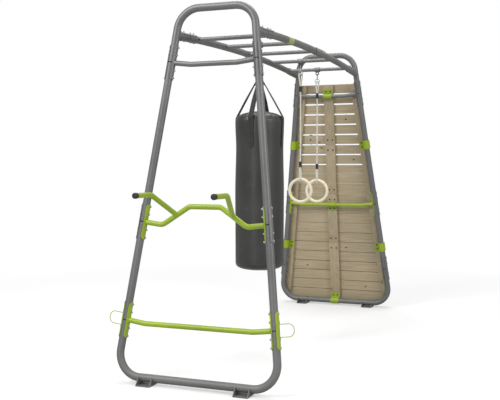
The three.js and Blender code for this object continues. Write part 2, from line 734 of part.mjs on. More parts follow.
function ladderHalf(from, to) {
  const start = from + JOINT_GAP / 2;
  const end = to - JOINT_GAP / 2;
  const pieces = [];
  for (let i = 0; i < RUNG_COUNT; i += 1) {
    if (i !== MIDDLE_RUNG_INDEX && rungY(i) > from && rungY(i) < to) {
      pieces.push(rung(i, RAIL_X));
    }
  }
  const bores = [];
  for (const [, side] of SIDES) {
    const places = [start, start + RAIL_END_LENGTH, (start + end) / 2, end - RAIL_END_LENGTH, end];
    const path = railPath(side * RAIL_X, places);
    pieces.push(pipe(path, TUBE_RADIUS, 0));
    bores.push(pipe(path.overrunBy(CUT_OVERRUN), TUBE_RADIUS - TUBE_WALL, 0, BORE_SIDES));
  }
  return cut(joined(...pieces), ...bores);
}

addMesh(assembly, 'ladder_front', ladderHalf(-RAIL_END_Y, RAIL_SPLICE_OFFSET), GREY_PAINT);
addMesh(assembly, 'ladder_rear', ladderHalf(RAIL_SPLICE_OFFSET, RAIL_END_Y), GREY_PAINT);

// Moves a coupler drawn round an upright tube, with its bolts' heads at +X, to a place on a
// rail. A turn of zero keeps the heads towards +X, and a quarter turn makes them face down.
function onRail(geometry, side, y, turn) {
  const placed = geometry.clone().rotateY(turn).rotateX(Math.atan(railSlope(y)));
  return placed.translate(side * RAIL_X, y, railHeight(y));
}

const RAIL_COUPLER = coupler(RAIL_PLATE_LENGTH);
for (const [name, side] of SIDES) {
  for (const [place, y] of [['front', -RAIL_END_Y], ['rear', RAIL_END_Y]]) {
    const placed = onRail(RAIL_COUPLER, side, y, QUARTER_TURN);
    addMesh(assembly, `ladder_coupler_${place}_${name}`, placed, GREY_PAINT);
  }
}

// The middle rung is welded to the couplers where the two halves meet.
function middleRung() {
  const couplers = SIDES.map(([, side]) => {
    const outward = side > 0 ? 0 : HALF_TURN;
    return onRail(RAIL_COUPLER, side, RAIL_SPLICE_OFFSET, outward);
  });
  const hollows = SIDES.map(([, side]) => {
    const places = [rungY(MIDDLE_RUNG_INDEX) - CUT_OVERRUN, rungY(MIDDLE_RUNG_INDEX) + CUT_OVERRUN];
    return pipe(railPath(side * RAIL_X, places), TUBE_RADIUS + PLATE_GAP + PLATE_THICKNESS / 2, 0);
  });
  const bar = rung(MIDDLE_RUNG_INDEX, RAIL_X - WEB_WIDTH / 2);
  return joined(cut(bar, ...hollows), ...couplers);
}

addMesh(assembly, 'ladder_middle_rung', middleRung(), GREY_PAINT);

// Hangers: a collar round a rung with a welded eye below it, then a link through the eye.
const COLLAR_RADIUS = RUNG_RADIUS + SEAT_GAP + COLLAR_THICKNESS;
const EYE_DROP = COLLAR_RADIUS + EYE_RADIUS;
const LINK_TOP_DROP = EYE_DROP + EYE_RADIUS;
const LINK_BOTTOM_DROP = LINK_TOP_DROP + LINK_LENGTH;

function rungCentre(index) {
  return new THREE.Vector3(0, rungY(index), railHeight(rungY(index)));
}

function hangerCollar(index) {
  const section = ringShape(COLLAR_RADIUS, RUNG_RADIUS + SEAT_GAP, CROSS_BAR_SIDES, CROSS_BAR_SIDES);
  const collar = new THREE.ExtrudeGeometry(section, { depth: COLLAR_WIDTH, bevelEnabled: false });
  collar.translate(0, 0, -COLLAR_WIDTH / 2).rotateY(QUARTER_TURN);
  const eye = wireRing(EYE_RADIUS, EYE_WIRE_RADIUS, EYE_STEPS, WIRE_SIDES).translate(0, 0, -EYE_DROP);
  const centre = rungCentre(index);
  return joined(collar, eye).translate(centre.x, centre.y, centre.z);
}

// A closed wire link in the YZ plane. Its upper bend turns round a wire of one radius at the
// top drop and its lower bend round another at the bottom drop.
function hangerLink(lowerWireRadius) {
  const bends = [[EYE_WIRE_RADIUS, LINK_TOP_DROP, 0], [lowerWireRadius, LINK_BOTTOM_DROP, HALF_TURN]];
  const sections = [];
  for (const [wireRadius, drop, startAngle] of bends) {
    const radius = wireRadius + LINK_GAP + LINK_WIRE_RADIUS;
    for (let i = 0; i <= LINK_BEND_STEPS; i += 1) {
      const angle = startAngle + HALF_TURN * i / LINK_BEND_STEPS;
      sections.push({ y: radius * Math.cos(angle), z: radius * Math.sin(angle) - drop, angle });
    }
  }
  const link = new THREE.TorusGeometry(1, LINK_WIRE_RADIUS, WIRE_SIDES, sections.length);
  const position = link.attributes.position;
  const perCircle = sections.length + 1;
  for (let i = 0; i < position.count; i += 1) {
    const section = sections[(i % perCircle) % sections.length];
    const around = 2 * HALF_TURN * Math.floor(i / perCircle) / WIRE_SIDES;
    const out = LINK_WIRE_RADIUS * Math.cos(around);
    const y = section.y + out * Math.cos(section.angle);
    const z = section.z + out * Math.sin(section.angle);
    position.setXYZ(i, LINK_WIRE_RADIUS * Math.sin(around), y, z);
  }
  return link;
}

// Gym rings: a steel ring on the link, a rope through two adjusters, and the ring itself.
const STRAND_OFFSET = ROPE_RADIUS + STRAND_GAP / 2;
const STEEL_RING_DROP = LINK_BOTTOM_DROP + STEEL_RING_RADIUS;
const ROPE_TOP_DROP = STEEL_RING_DROP + STEEL_RING_RADIUS;
const UPPER_ADJUSTER_DROP = ROPE_TOP_DROP + UPPER_LOOP_LENGTH;
const LOWER_ADJUSTER_DROP = UPPER_ADJUSTER_DROP + ROPE_RUN_LENGTH;
const GYM_RING_DROP = LOWER_ADJUSTER_DROP + LOWER_LOOP_LENGTH;
const GYM_RING_RADIUS = GYM_RING_OUTER_RADIUS - GYM_RING_SECTION_RADIUS;
const GYM_RING_TOP_DROP = GYM_RING_DROP + GYM_RING_SECTION_RADIUS;
const UPPER_WRAP = STEEL_RING_WIRE_RADIUS + LINK_GAP + ROPE_RADIUS;
const LOWER_WRAP = GYM_RING_SECTION_RADIUS + SEAT_GAP + ROPE_RADIUS;

// The rope's route below its rung, as places with their bend radii: from its upper end, over
// the steel ring's wire, down through both adjusters, round the gym ring and up to its end.
function rope() {
  const upperTop = -UPPER_ADJUSTER_DROP;
  const upperBottom = upperTop - ADJUSTER_HEIGHT;
  const lowerTop = -LOWER_ADJUSTER_DROP;
  const lowerBottom = lowerTop - ADJUSTER_HEIGHT;
  const loopTop = UPPER_WRAP + ROPE_LOOP_SLACK - ROPE_TOP_DROP;
  const loopBottom = -GYM_RING_TOP_DROP - LOWER_WRAP;
  const upperBend = UPPER_WRAP * Math.SQRT2 * ROPE_LOOP_FULLNESS_SHARE;
  const lowerBend = LOWER_WRAP * ROPE_LOOP_FULLNESS_SHARE;
  const places = [
    [0, STRAND_OFFSET, upperBottom - ROPE_TAIL_LENGTH, 0],
    [0, STRAND_OFFSET, upperTop, 0],
    [UPPER_WRAP, UPPER_WRAP, -ROPE_TOP_DROP - UPPER_WRAP, 0],
    [UPPER_WRAP, UPPER_WRAP, loopTop, upperBend],
    [-UPPER_WRAP, -UPPER_WRAP, loopTop, upperBend],
    [-UPPER_WRAP, -UPPER_WRAP, -ROPE_TOP_DROP - UPPER_WRAP, 0],
    [0, -STRAND_OFFSET, upperTop, 0],
    [0, -STRAND_OFFSET, upperBottom, 0],
    [0, 0, upperBottom - ROPE_SPLAY_LENGTH, 0],
    [0, 0, lowerTop + ROPE_SPLAY_LENGTH, 0],
    [0, -STRAND_OFFSET, lowerTop, 0],
    [0, -STRAND_OFFSET, lowerBottom, 0],
    [0, -LOWER_WRAP, lowerBottom - ROPE_SPLAY_LENGTH, 0],
    [0, -LOWER_WRAP, loopBottom, lowerBend],
    [0, LOWER_WRAP, loopBottom, lowerBend],
    [0, LOWER_WRAP, lowerBottom - ROPE_SPLAY_LENGTH, 0],
    [0, STRAND_OFFSET, lowerBottom, 0],
    [0, STRAND_OFFSET, lowerTop + ROPE_TAIL_LENGTH, 0],
  ];
  const corners = places.map(([x, y, z]) => new THREE.Vector3(x, y, z));
  const bendRadii = places.slice(1, -1).map((place) => place[3]);
  return pipe(bentPath(corners, bendRadii, ROPE_STEP_ANGLE), ROPE_RADIUS, 0, ROPE_SIDES);
}

function chamferedOutline(halfWide, halfDeep, chamfer) {
  const corner = [[halfWide - chamfer, -halfDeep], [halfWide, chamfer - halfDeep]];
  const right = [...corner, ...corner.map(([x, y]) => [x, -y]).reverse()];
  return [...right, ...right.map(([x, y]) => [-x, -y])].map(([x, y]) => new THREE.Vector2(x, y));
}

function adjuster(drop) {
  const slotWide = STRAND_OFFSET + ROPE_RADIUS + SEAT_GAP;
  const slotDeep = ROPE_RADIUS + SEAT_GAP;
  const outline = chamferedOutline(slotDeep + ADJUSTER_WALL, slotWide + ADJUSTER_WALL, ADJUSTER_CHAMFER);
  const shape = new THREE.Shape(outline);
  shape.holes.push(new THREE.Path(chamferedOutline(slotDeep, slotWide, ADJUSTER_WALL)));
  const body = new THREE.ExtrudeGeometry(shape, { depth: ADJUSTER_HEIGHT, bevelEnabled: false });
  return body.translate(0, 0, -drop - ADJUSTER_HEIGHT);
}

function placedAt(centre, geometry) {
  return geometry.translate(centre.x, centre.y, centre.z);
}

RING_RUNGS.forEach((index, order) => {
  const centre = rungCentre(index);
  const name = `gym_ring_${order + 1}`;
  const steelRing = wireRing(STEEL_RING_RADIUS, STEEL_RING_WIRE_RADIUS, RING_STEPS / 2, WIRE_SIDES);
  const gymRing = wireRing(GYM_RING_RADIUS, GYM_RING_SECTION_RADIUS, RING_STEPS, ROPE_SIDES);
  addMesh(assembly, `${name}_collar`, hangerCollar(index), GREY_PAINT);
  addMesh(assembly, `${name}_link`, placedAt(centre, hangerLink(STEEL_RING_WIRE_RADIUS)), ZINC);
  steelRing.translate(0, 0, -STEEL_RING_DROP);
  const upperAdjuster = placedAt(centre, adjuster(UPPER_ADJUSTER_DROP));
  const lowerAdjuster = placedAt(centre, adjuster(LOWER_ADJUSTER_DROP));
  addMesh(assembly, `${name}_steel_ring`, placedAt(centre, steelRing), ZINC);
  addMesh(assembly, `${name}_rope`, placedAt(centre, rope()), ROPE_WHITE);
  addMesh(assembly, `${name}_upper_adjuster`, upperAdjuster, BLACK_PLASTIC);
  addMesh(assembly, `${name}_lower_adjuster`, lowerAdjuster, BLACK_PLASTIC);
  gymRing.translate(0, 0, -GYM_RING_DROP - GYM_RING_OUTER_RADIUS);
  addMesh(assembly, name, placedAt(centre, gymRing), RING_CREAM);
});

// Boxing bag: link, swivel, hub ring, four straps with buckles, and the bag.
const bagCentre = rungCentre(BAG_RUNG_INDEX);
addMesh(assembly, 'bag_collar', hangerCollar(BAG_RUNG_INDEX), GREY_PAINT);
addMesh(assembly, 'bag_link', placedAt(bagCentre, hangerLink(EYE_WIRE_RADIUS)), ZINC);

const SWIVEL_EYE_DROP = LINK_BOTTOM_DROP + EYE_RADIUS;
const SWIVEL_TOP_DROP = SWIVEL_EYE_DROP + EYE_RADIUS;
const SWIVEL_BOTTOM_DROP = SWIVEL_TOP_DROP + SWIVEL_LENGTH;
const HUB_DROP = SWIVEL_BOTTOM_DROP + STEM_LENGTH;

function swivel() {
  const throat = STEM_RADIUS + STEM_GAP;
  const cavityTop = -SWIVEL_TOP_DROP - SWIVEL_END_THICKNESS;
  const cavityBottom = SWIVEL_END_THICKNESS - SWIVEL_BOTTOM_DROP;
  const profile = [
    [0, cavityTop],
    [SWIVEL_CAVITY_RADIUS, cavityTop],
    [SWIVEL_CAVITY_RADIUS, cavityBottom],
    [throat, cavityBottom],
    [throat, -SWIVEL_BOTTOM_DROP],
    [SWIVEL_RADIUS, -SWIVEL_BOTTOM_DROP],
    [SWIVEL_RADIUS, -SWIVEL_TOP_DROP],
    [0, -SWIVEL_TOP_DROP],
  ];
  const eye = wireRing(EYE_RADIUS, EYE_WIRE_RADIUS, EYE_STEPS, WIRE_SIDES).translate(0, 0, -SWIVEL_EYE_DROP);
  return joined(turned(profile, BAR_SIDES), eye);
}

addMesh(assembly, 'bag_swivel', placedAt(bagCentre, swivel()), BLACK_STEEL);

// A headed stem that ends in a cross, inside a square of wire that the straps hang on.
function hub() {
  const headBottom = SWIVEL_END_THICKNESS + SEAT_GAP - SWIVEL_BOTTOM_DROP;
  const profile = [
    [0, -HUB_WIRE_RADIUS],
    [STEM_RADIUS, -HUB_WIRE_RADIUS],
    [STEM_RADIUS, HUB_DROP + headBottom],
    [STEM_HEAD_RADIUS, HUB_DROP + headBottom],
    [STEM_HEAD_RADIUS, HUB_DROP + headBottom + STEM_HEAD_HEIGHT],
    [0, HUB_DROP + headBottom + STEM_HEAD_HEIGHT],
  ];
  const width = 2 * HUB_WIRE_RADIUS;
  const span = 2 * HUB_HALF_WIDTH;
  const bars = [
    new THREE.BoxGeometry(span * Math.SQRT2, width, width).rotateZ(EIGHTH_TURN),
    new THREE.BoxGeometry(span * Math.SQRT2, width, width).rotateZ(-EIGHTH_TURN),
  ];
  for (let i = 0; i < STRAP_COUNT; i += 1) {
    const bar = new THREE.BoxGeometry(width, span + width, width).translate(HUB_HALF_WIDTH, 0, 0);
    bars.push(bar.rotateZ(i * QUARTER_TURN));
  }
  return joined(turned(profile, ROPE_SIDES), ...bars).translate(0, 0, -HUB_DROP);
}

const SHOULDER_DROP = HUB_DROP + STRAP_FALL_HEIGHT;
const BAG_SHOULDER_HEIGHT = bagCentre.z - SHOULDER_DROP;
const BAG_BOTTOM_HEIGHT = BAG_SHOULDER_HEIGHT - BAG_LENGTH;
const BAG_FACET_RADIUS = BAG_RADIUS * Math.cos(HALF_TURN / BAG_SIDES);

function bagBody() {
  const crown = BAG_SHOULDER_HEIGHT + BAG_CROWN_RISE;
  const rounding = BAG_EDGE_ROUND * BAG_ROUND_SHARE;
  const profile = [
    [0, BAG_BOTTOM_HEIGHT],
    [BAG_RADIUS - BAG_EDGE_ROUND, BAG_BOTTOM_HEIGHT],
    [BAG_RADIUS - rounding, BAG_BOTTOM_HEIGHT + rounding],
    [BAG_RADIUS, BAG_BOTTOM_HEIGHT + BAG_EDGE_ROUND],
    [BAG_RADIUS, (BAG_BOTTOM_HEIGHT + BAG_SHOULDER_HEIGHT) / 2],
    [BAG_RADIUS - BAG_WAIST_DEPTH, BAG_SHOULDER_HEIGHT - STRAP_TAIL_LENGTH],
    [BAG_RADIUS, BAG_SHOULDER_HEIGHT - BAG_RIM_DROP],
    [BAG_RADIUS - BAG_RIM_INSET, BAG_SHOULDER_HEIGHT],
    [BAG_RADIUS - BAG_EDGE_ROUND, BAG_SHOULDER_HEIGHT + BAG_CROWN_RISE / 2],
    [BAG_RADIUS / 2, crown],
    [0, crown],
  ];
  const body = turned(profile, BAG_SIDES).rotateZ(HALF_TURN / BAG_SIDES);
  return body.translate(bagCentre.x, bagCentre.y, 0);
}

addMesh(assembly, 'bag_body', bagBody(), BAG_BLACK);

// A strap drawn towards +X: a flap sewn back to the strap, a turn round the hub's wire, a run
// down to the bag's rim and a tail sewn down its side.
const strapRim = new THREE.Vector2(BAG_FACET_RADIUS + SEAT_GAP + STRAP_THICKNESS / 2, -SHOULDER_DROP);
const hubWire = new THREE.Vector2(HUB_HALF_WIDTH, -HUB_DROP);
const STRAP_WRAP = HUB_WIRE_RADIUS + SEAT_GAP + STRAP_THICKNESS / 2;

function strapLine() {
  const down = strapRim.clone().sub(hubWire).normalize();
  const inward = new THREE.Vector2(down.y, -down.x);
  const layer = STRAP_THICKNESS + SEAT_GAP;
  const runStart = hubWire.clone().addScaledVector(inward, -STRAP_WRAP);
  const run = strapRim.clone().sub(runStart).normalize();
  const runInward = new THREE.Vector2(run.y, -run.x);
  const flap = [STRAP_FLAP_LENGTH, STRAP_FLAP_OPENING_LENGTH].map(
    (reach) => runStart.clone().addScaledVector(run, reach).addScaledVector(runInward, layer),
  );
  const turn = [];
  const clear = STRAP_WRAP / Math.cos(HALF_TURN / STRAP_TURN_STEPS / 2);
  for (let i = 0; i <= STRAP_TURN_STEPS; i += 1) {
    const angle = HALF_TURN * i / STRAP_TURN_STEPS;
    const spoke = inward.clone().multiplyScalar(Math.cos(angle)).addScaledVector(down, -Math.sin(angle));
    turn.push(hubWire.clone().addScaledVector(spoke, clear));
  }
  const belowRim = new THREE.Vector2(strapRim.x, strapRim.y - BAG_RIM_DROP);
  const pinch = BAG_WAIST_DEPTH * Math.cos(HALF_TURN / BAG_SIDES);
  const tail = new THREE.Vector2(strapRim.x - pinch, strapRim.y - STRAP_TAIL_LENGTH);
  return [...flap, ...turn, strapRim, belowRim, tail];
}

// The strap folds lengthwise above its share of the way up, and narrows to the hub.
function foldStrap(strip) {
  const position = strip.attributes.position;
  const foldStart = -SHOULDER_DROP + STRAP_FOLD_SHARE * (SHOULDER_DROP - HUB_DROP);
  for (let i = 0; i < position.count; i += 1) {
    const rise = (position.getZ(i) - foldStart) / (-HUB_DROP - foldStart);
    const share = THREE.MathUtils.clamp(rise, 0, 1);
    const width = THREE.MathUtils.lerp(STRAP_WIDTH, STRAP_TOP_WIDTH, share);
    position.setY(i, position.getY(i) * width / STRAP_WIDTH);
  }
  return strip;
}

function strap(order) {
  const strip = slab(stripOutline(strapLine(), STRAP_THICKNESS), STRAP_WIDTH).rotateX(QUARTER_TURN);
  return foldStrap(strip).rotateZ(QUARTER_TURN * order);
}

const straps = [];
for (let i = 0; i < STRAP_COUNT; i += 1) {
  straps.push(strap(i));
}
addMesh(assembly, 'bag_harness', placedAt(bagCentre, joined(hub(), ...straps)), WEBBING);

// Climbing wall: panels of planks on two side battens and a centre beam, each with its clips
// to the rear frame, its bolts' heads and its climbing holds.
const BATTEN_INNER = TUBE_RADIUS + PLATE_GAP + PLATE_THICKNESS + SEAT_GAP;
const BATTEN_OUTER = BATTEN_INNER + BATTEN_THICKNESS;
const PLANK_INNER = BATTEN_OUTER - JOIN_SINK;
const PLANK_OUTER = PLANK_INNER + PLANK_THICKNESS;

// The planks share out the height from the bottom tube to above the high joint.
const PLANK_COUNT = PANEL_PLANK_COUNTS.reduce((total, count) => total + count);
const PLANK_PITCH = (HIGH_JOINT_HEIGHT + WALL_TOP_RISE - WALL_BOTTOM) / PLANK_COUNT;

// Bolts and holds sit at one height above the bottom edge of their plank.
const FIXING_RISE = (PLANK_PITCH - PLANK_GAP) / 2;

function plankBottom(row) {
  return WALL_BOTTOM + row * PLANK_PITCH;
}

// The lower planks are set closer than the upper ones: a gap of theirs can't be seen through.
function gapAbove(row) {
  return row < CLOSE_PLANK_COUNT ? CLOSE_PLANK_GAP : PLANK_GAP;
}

function plankHeight(row) {
  return PLANK_PITCH - gapAbove(row);
}

// The wall's half width follows the frame's leg and its round bottom corner.
function wallHalfWidth(height) {
  if (height >= CORNER_SETBACK * Math.cos(LEG_ANGLE)) {
    return legX(height) + WALL_EDGE_OVERHANG / Math.cos(LEG_ANGLE);
  }
  const reach = CORNER_RADIUS + WALL_EDGE_OVERHANG;
  const below = CORNER_RADIUS - height;
  return BASE_HALF_WIDTH - CORNER_SETBACK + Math.sqrt(reach ** 2 - below ** 2);
}

function plank(row) {
  const bottom = plankBottom(row);
  const steps = bottom < CORNER_RADIUS ? CORNER_STEPS : 1;
  const right = [];
  for (let i = 0; i <= steps; i += 1) {
    const height = bottom + plankHeight(row) * i / steps;
    right.push([wallHalfWidth(height), height]);
  }
  const left = right.map(([x, y]) => [-x, y]).reverse();
  return slab([...right, ...left], PLANK_THICKNESS).translate(0, 0, PLANK_INNER + PLANK_THICKNESS / 2);
}

function sideBatten(side, bottom, top) {
  const innerInset = SIDE_BATTEN_INSET / Math.cos(LEG_ANGLE);
  const outerInset = (SIDE_BATTEN_INSET - SIDE_BATTEN_WIDTH) / Math.cos(LEG_ANGLE);
  const outline = [
    [legX(bottom) - innerInset, bottom],
    [legX(bottom) - outerInset, bottom],
    [legX(top) - outerInset, top],
    [legX(top) - innerInset, top],
  ];
  const batten = slab(outline, BATTEN_THICKNESS).translate(0, 0, BATTEN_INNER + BATTEN_THICKNESS / 2);
  return side > 0 ? batten : batten.rotateY(HALF_TURN).translate(0, 0, BATTEN_INNER + BATTEN_OUTER);
}

function centreBeam(bottom, top) {
  const beam = new THREE.BoxGeometry(CENTRE_BEAM_WIDTH, top - bottom, BATTEN_THICKNESS);
  return beam.translate(0, (top + bottom) / 2, BATTEN_INNER + BATTEN_THICKNESS / 2);
}

// A clip drawn round a tube that runs along Y, with its flange towards +X under the battens.
const CLIP_FACE = BATTEN_INNER - SEAT_GAP;

function clipReach(tubeRadius) {
  return tubeRadius + SEAT_GAP + CLIP_THICKNESS / 2;
}

function clip(tubeRadius) {
  const clear = clipReach(tubeRadius) / Math.cos(HALF_TURN / CLIP_STEPS / 2);
  const top = CLIP_FACE - CLIP_THICKNESS / 2;
  const line = [new THREE.Vector2(-clear, CLIP_FACE - CLIP_THICKNESS)];
  for (let i = 0; i <= CLIP_STEPS; i += 1) {
    const angle = -HALF_TURN * (1 - i / CLIP_STEPS);
    line.push(new THREE.Vector2(clear * Math.cos(angle), clear * Math.sin(angle)));
  }
  line.push(new THREE.Vector2(clear, top), new THREE.Vector2(clear + CLIP_FLANGE, top));
  return slab(stripOutline(line, CLIP_THICKNESS), CLIP_LENGTH).rotateX(QUARTER_TURN);
}

// A bolt's head that faces inward, sunk a little into the face that it holds.
function woodBolt(x, height, face) {
  const head = new THREE.CylinderGeometry(WOOD_BOLT_RADIUS, WOOD_BOLT_RADIUS, WOOD_BOLT_HEIGHT, WIRE_SIDES);
  return head.rotateX(QUARTER_TURN).translate(x, height, face + JOIN_SINK - WOOD_BOLT_HEIGHT / 2);
}

// A clip with its two bolts. The lower one's shank goes on into the wood.
function boltedClip(tubeRadius) {
  const reach = clipReach(tubeRadius) + CLIP_BOLT_OFFSET;
  const length = CLIP_THICKNESS + 2 * WOOD_BOLT_HEIGHT;
  const shank = new THREE.CylinderGeometry(WOOD_SHANK_RADIUS, WOOD_SHANK_RADIUS, length, NUT_SIDES);
  shank.rotateX(QUARTER_TURN).translate(reach, -CLIP_BOLT_HALF_SPACING, CLIP_FACE);
  const heads = [-CLIP_BOLT_HALF_SPACING, CLIP_BOLT_HALF_SPACING].map(
    (offset) => woodBolt(reach, offset, CLIP_FACE - CLIP_THICKNESS),
  );
  return joined(clip(tubeRadius), shank, ...heads);
}

// Clips with the height of the bolts that hold them.
function centreClip(tubeRadius, height, turn) {
  const reach = clipReach(tubeRadius) + CLIP_BOLT_OFFSET;
  const piece = boltedClip(tubeRadius).rotateZ(turn).translate(0, height, 0);
  return { boltHeight: height + Math.sign(turn) * reach, pieces: [piece] };
}

// On the right leg the clip is turned over, so that its held bolt stays the lower one.
function sideClips(height) {
  const right = boltedClip(TUBE_RADIUS).scale(-1, 1, 1);
  right.index.array.reverse();
  const pieces = [onSlope(boltedClip(TUBE_RADIUS), -1, height), onSlope(right, 1, height)];
  return { boltHeight: height - CLIP_BOLT_HALF_SPACING, pieces };
}

function onSlope(geometry, side, height) {
  const place = legPoint(side, height);
  return geometry.rotateZ(side * LEG_ANGLE).translate(place.x, place.y, 0);
}

function barHeight(jointHeight) {
  return jointHeight - BAR_BEND_OFFSET * Math.sin(LEG_ANGLE);
}

// A climbing hold: a rounded lump with a wavy outline.
function climbingHold(row, order) {
  const kind = order % HOLD_RADIUS_SHARES.length;
  const radius = HOLD_RADIUS_SHARES[kind] * (PLANK_PITCH - PLANK_GAP);
  const rise = HOLD_HEIGHTS[kind];
  const top = radius * HOLD_TOP_SHARES[kind];
  const profile = [
    [0, -JOIN_SINK],
    [radius, -JOIN_SINK],
    [radius, rise * HOLD_EDGE_SHARE],
    [top, rise],
    [0, rise],
  ];
  const hold = turned(profile, HOLD_SIDES);
  const position = hold.attributes.position;
  for (let i = 0; i < position.count; i += 1) {
    const angle = Math.atan2(position.getY(i), position.getX(i));
    const wave = 1 + HOLD_WAVE_SHARE * Math.cos((kind + HOLD_FEWEST_LOBES) * angle);
    position.setX(i, position.getX(i) * wave);
    position.setY(i, position.getY(i) * wave);
  }
  const height = plankBottom(row) + FIXING_RISE;
  return hold.translate(HOLD_ACROSS_SHARES[order] * legX(height), height, PLANK_OUTER);
}

// Each clip belongs to the panel that its bolts go into.
const clips = [
  centreClip(TUBE_RADIUS, 0, QUARTER_TURN),
  sideClips(LOW_JOINT_HEIGHT + LOWER_SIDE_CLIP_RISE),
  centreClip(BAR_RADIUS, barHeight(MID_JOINT_HEIGHT), -QUARTER_TURN),
  sideClips(MID_JOINT_HEIGHT + UPPER_SIDE_CLIP_RISE),
  centreClip(BAR_RADIUS, barHeight(HIGH_JOINT_HEIGHT), QUARTER_TURN),
];
const lastPanel = PANEL_PLANK_COUNTS.length - 1;
let firstRow = 0;
PANEL_PLANK_COUNTS.forEach((count, panel) => {
  const lastRow = firstRow + count - 1;
  const bottomTrim = panel === 0 ? 0 : (gapAbove(firstRow - 1) - PANEL_GAP) / 2;
  const topTrim = panel === lastPanel ? 0 : (gapAbove(lastRow) - PANEL_GAP) / 2;
  const bottom = plankBottom(firstRow) - bottomTrim;
  const top = plankBottom(lastRow) + plankHeight(lastRow) + topTrim;
  const ownClips = clips.filter((each) => each.boltHeight >= bottom - PANEL_GAP && each.boltHeight < top);
  const pieces = [centreBeam(bottom, top), ...ownClips.flatMap((each) => each.pieces)];
  for (const [, side] of SIDES) {
    pieces.push(sideBatten(side, Math.max(bottom, CORNER_RADIUS / 2), top));
  }
  for (let row = firstRow; row <= lastRow; row += 1) {
    pieces.push(plank(row));
    const middle = plankBottom(row) + FIXING_RISE;
    const atJoint = (row === firstRow && panel > 0) || (row === lastRow && panel < lastPanel);
    if (atJoint) {
      pieces.push(woodBolt(-BEAM_BOLT_HALF_SPACING, middle, BATTEN_INNER));
      pieces.push(woodBolt(BEAM_BOLT_HALF_SPACING, middle, BATTEN_INNER));
    }
    const order = HOLD_ROWS.indexOf(row);
    if (order >= 0) {
      pieces.push(woodBolt(HOLD_ACROSS_SHARES[order] * legX(middle), middle, PLANK_INNER));
      pieces.push(climbingHold(row, order));
    }
  }
  addMesh(rearFrame, `wall_panel_${panel + 1}`, joined(...pieces), WOOD);
  firstRow = lastRow + 1;
});

// The assembly stands with the middle of its plan at the origin.
const bounds = new THREE.Box3().setFromObject(assembly, true);
assembly.position.y = -(bounds.min.y + bounds.max.y) / 2;

const group = new THREE.Group();
group.add(assembly);
group.updateMatrixWorld(true);

export default group;
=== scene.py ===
# %% [markdown]
# # A climbing frame in Blender
# The object is a garden climbing frame of round steel tube. Two leaning end frames carry an
# overhead ladder, and from its rungs hang a boxing bag and two gym rings. The far frame holds a
# wall of planks. The model of its solids is loaded first: it is fixed, and every piece that
# is made here sits on it, in metres, with +Z up.

# %% Load the fixed model
import math

import bmesh
import bpy
from mathutils import Matrix, Vector, noise


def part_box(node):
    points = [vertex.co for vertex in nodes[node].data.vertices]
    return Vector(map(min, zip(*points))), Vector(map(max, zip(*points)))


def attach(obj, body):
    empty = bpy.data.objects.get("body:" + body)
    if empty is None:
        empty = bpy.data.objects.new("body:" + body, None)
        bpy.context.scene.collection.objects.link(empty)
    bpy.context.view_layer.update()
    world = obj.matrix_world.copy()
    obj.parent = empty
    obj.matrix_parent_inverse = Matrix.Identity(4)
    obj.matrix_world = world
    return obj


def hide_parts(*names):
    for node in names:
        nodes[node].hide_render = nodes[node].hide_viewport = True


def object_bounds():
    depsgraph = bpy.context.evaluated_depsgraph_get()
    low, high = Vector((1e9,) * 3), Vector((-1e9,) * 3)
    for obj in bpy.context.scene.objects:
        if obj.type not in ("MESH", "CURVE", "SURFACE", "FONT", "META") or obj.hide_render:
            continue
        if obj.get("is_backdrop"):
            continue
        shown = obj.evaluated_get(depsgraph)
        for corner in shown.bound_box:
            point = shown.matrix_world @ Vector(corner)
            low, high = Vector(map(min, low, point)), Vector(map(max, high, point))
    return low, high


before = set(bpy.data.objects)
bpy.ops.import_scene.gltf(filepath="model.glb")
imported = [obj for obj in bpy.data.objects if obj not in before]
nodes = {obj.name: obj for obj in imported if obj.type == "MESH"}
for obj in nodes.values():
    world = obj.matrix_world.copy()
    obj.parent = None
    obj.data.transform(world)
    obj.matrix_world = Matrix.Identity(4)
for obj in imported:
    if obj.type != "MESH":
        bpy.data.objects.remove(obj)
cad_low, cad_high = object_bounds()
scene = bpy.context.scene
print("nodes", len(nodes), "size", [round(v, 3) for v in cad_high - cad_low])

# %% [markdown]
# ## The camera
# The photograph was taken from the front right, at chest height, with a fairly long lens.
# A camera is easiest to aim from its own three directions, so the cell works out where it
# looks, what is to its right and what is up, and puts them in a matrix.

# %% Aim the camera
CAMERA_PLACE = Vector((2.074, -5.9306, 1.361))
CAMERA_YAW = math.radians(21.24)
CAMERA_PITCH = math.radians(2.45)
CAMERA_LENS = 58.18
VIEW_REACH = 100

level = math.cos(CAMERA_PITCH)
forward = Vector((-math.sin(CAMERA_YAW) * level, math.cos(CAMERA_YAW) * level, -math.sin(CAMERA_PITCH)))
right = forward.cross(Vector((0, 0, 1))).normalized()
up = right.cross(forward)
aim = Matrix((right, up, -forward)).transposed().to_4x4()
camera = bpy.data.objects.new("camera", bpy.data.cameras.new("camera"))
scene.collection.objects.link(camera)
camera.matrix_world = Matrix.Translation(CAMERA_PLACE) @ aim
camera.data.lens = CAMERA_LENS
camera.data.clip_end = VIEW_REACH
scene.camera = camera
print("camera looks along", [round(v, 3) for v in forward])

# %% [markdown]
# ## Building with nodes
# Materials and repeated shapes are both made of nodes. Two small classes keep that short:
# one adds a node, sets it up and fills its sockets, and the other wraps a number that a
# node puts out, so that a sum written with Python's signs becomes Math nodes.

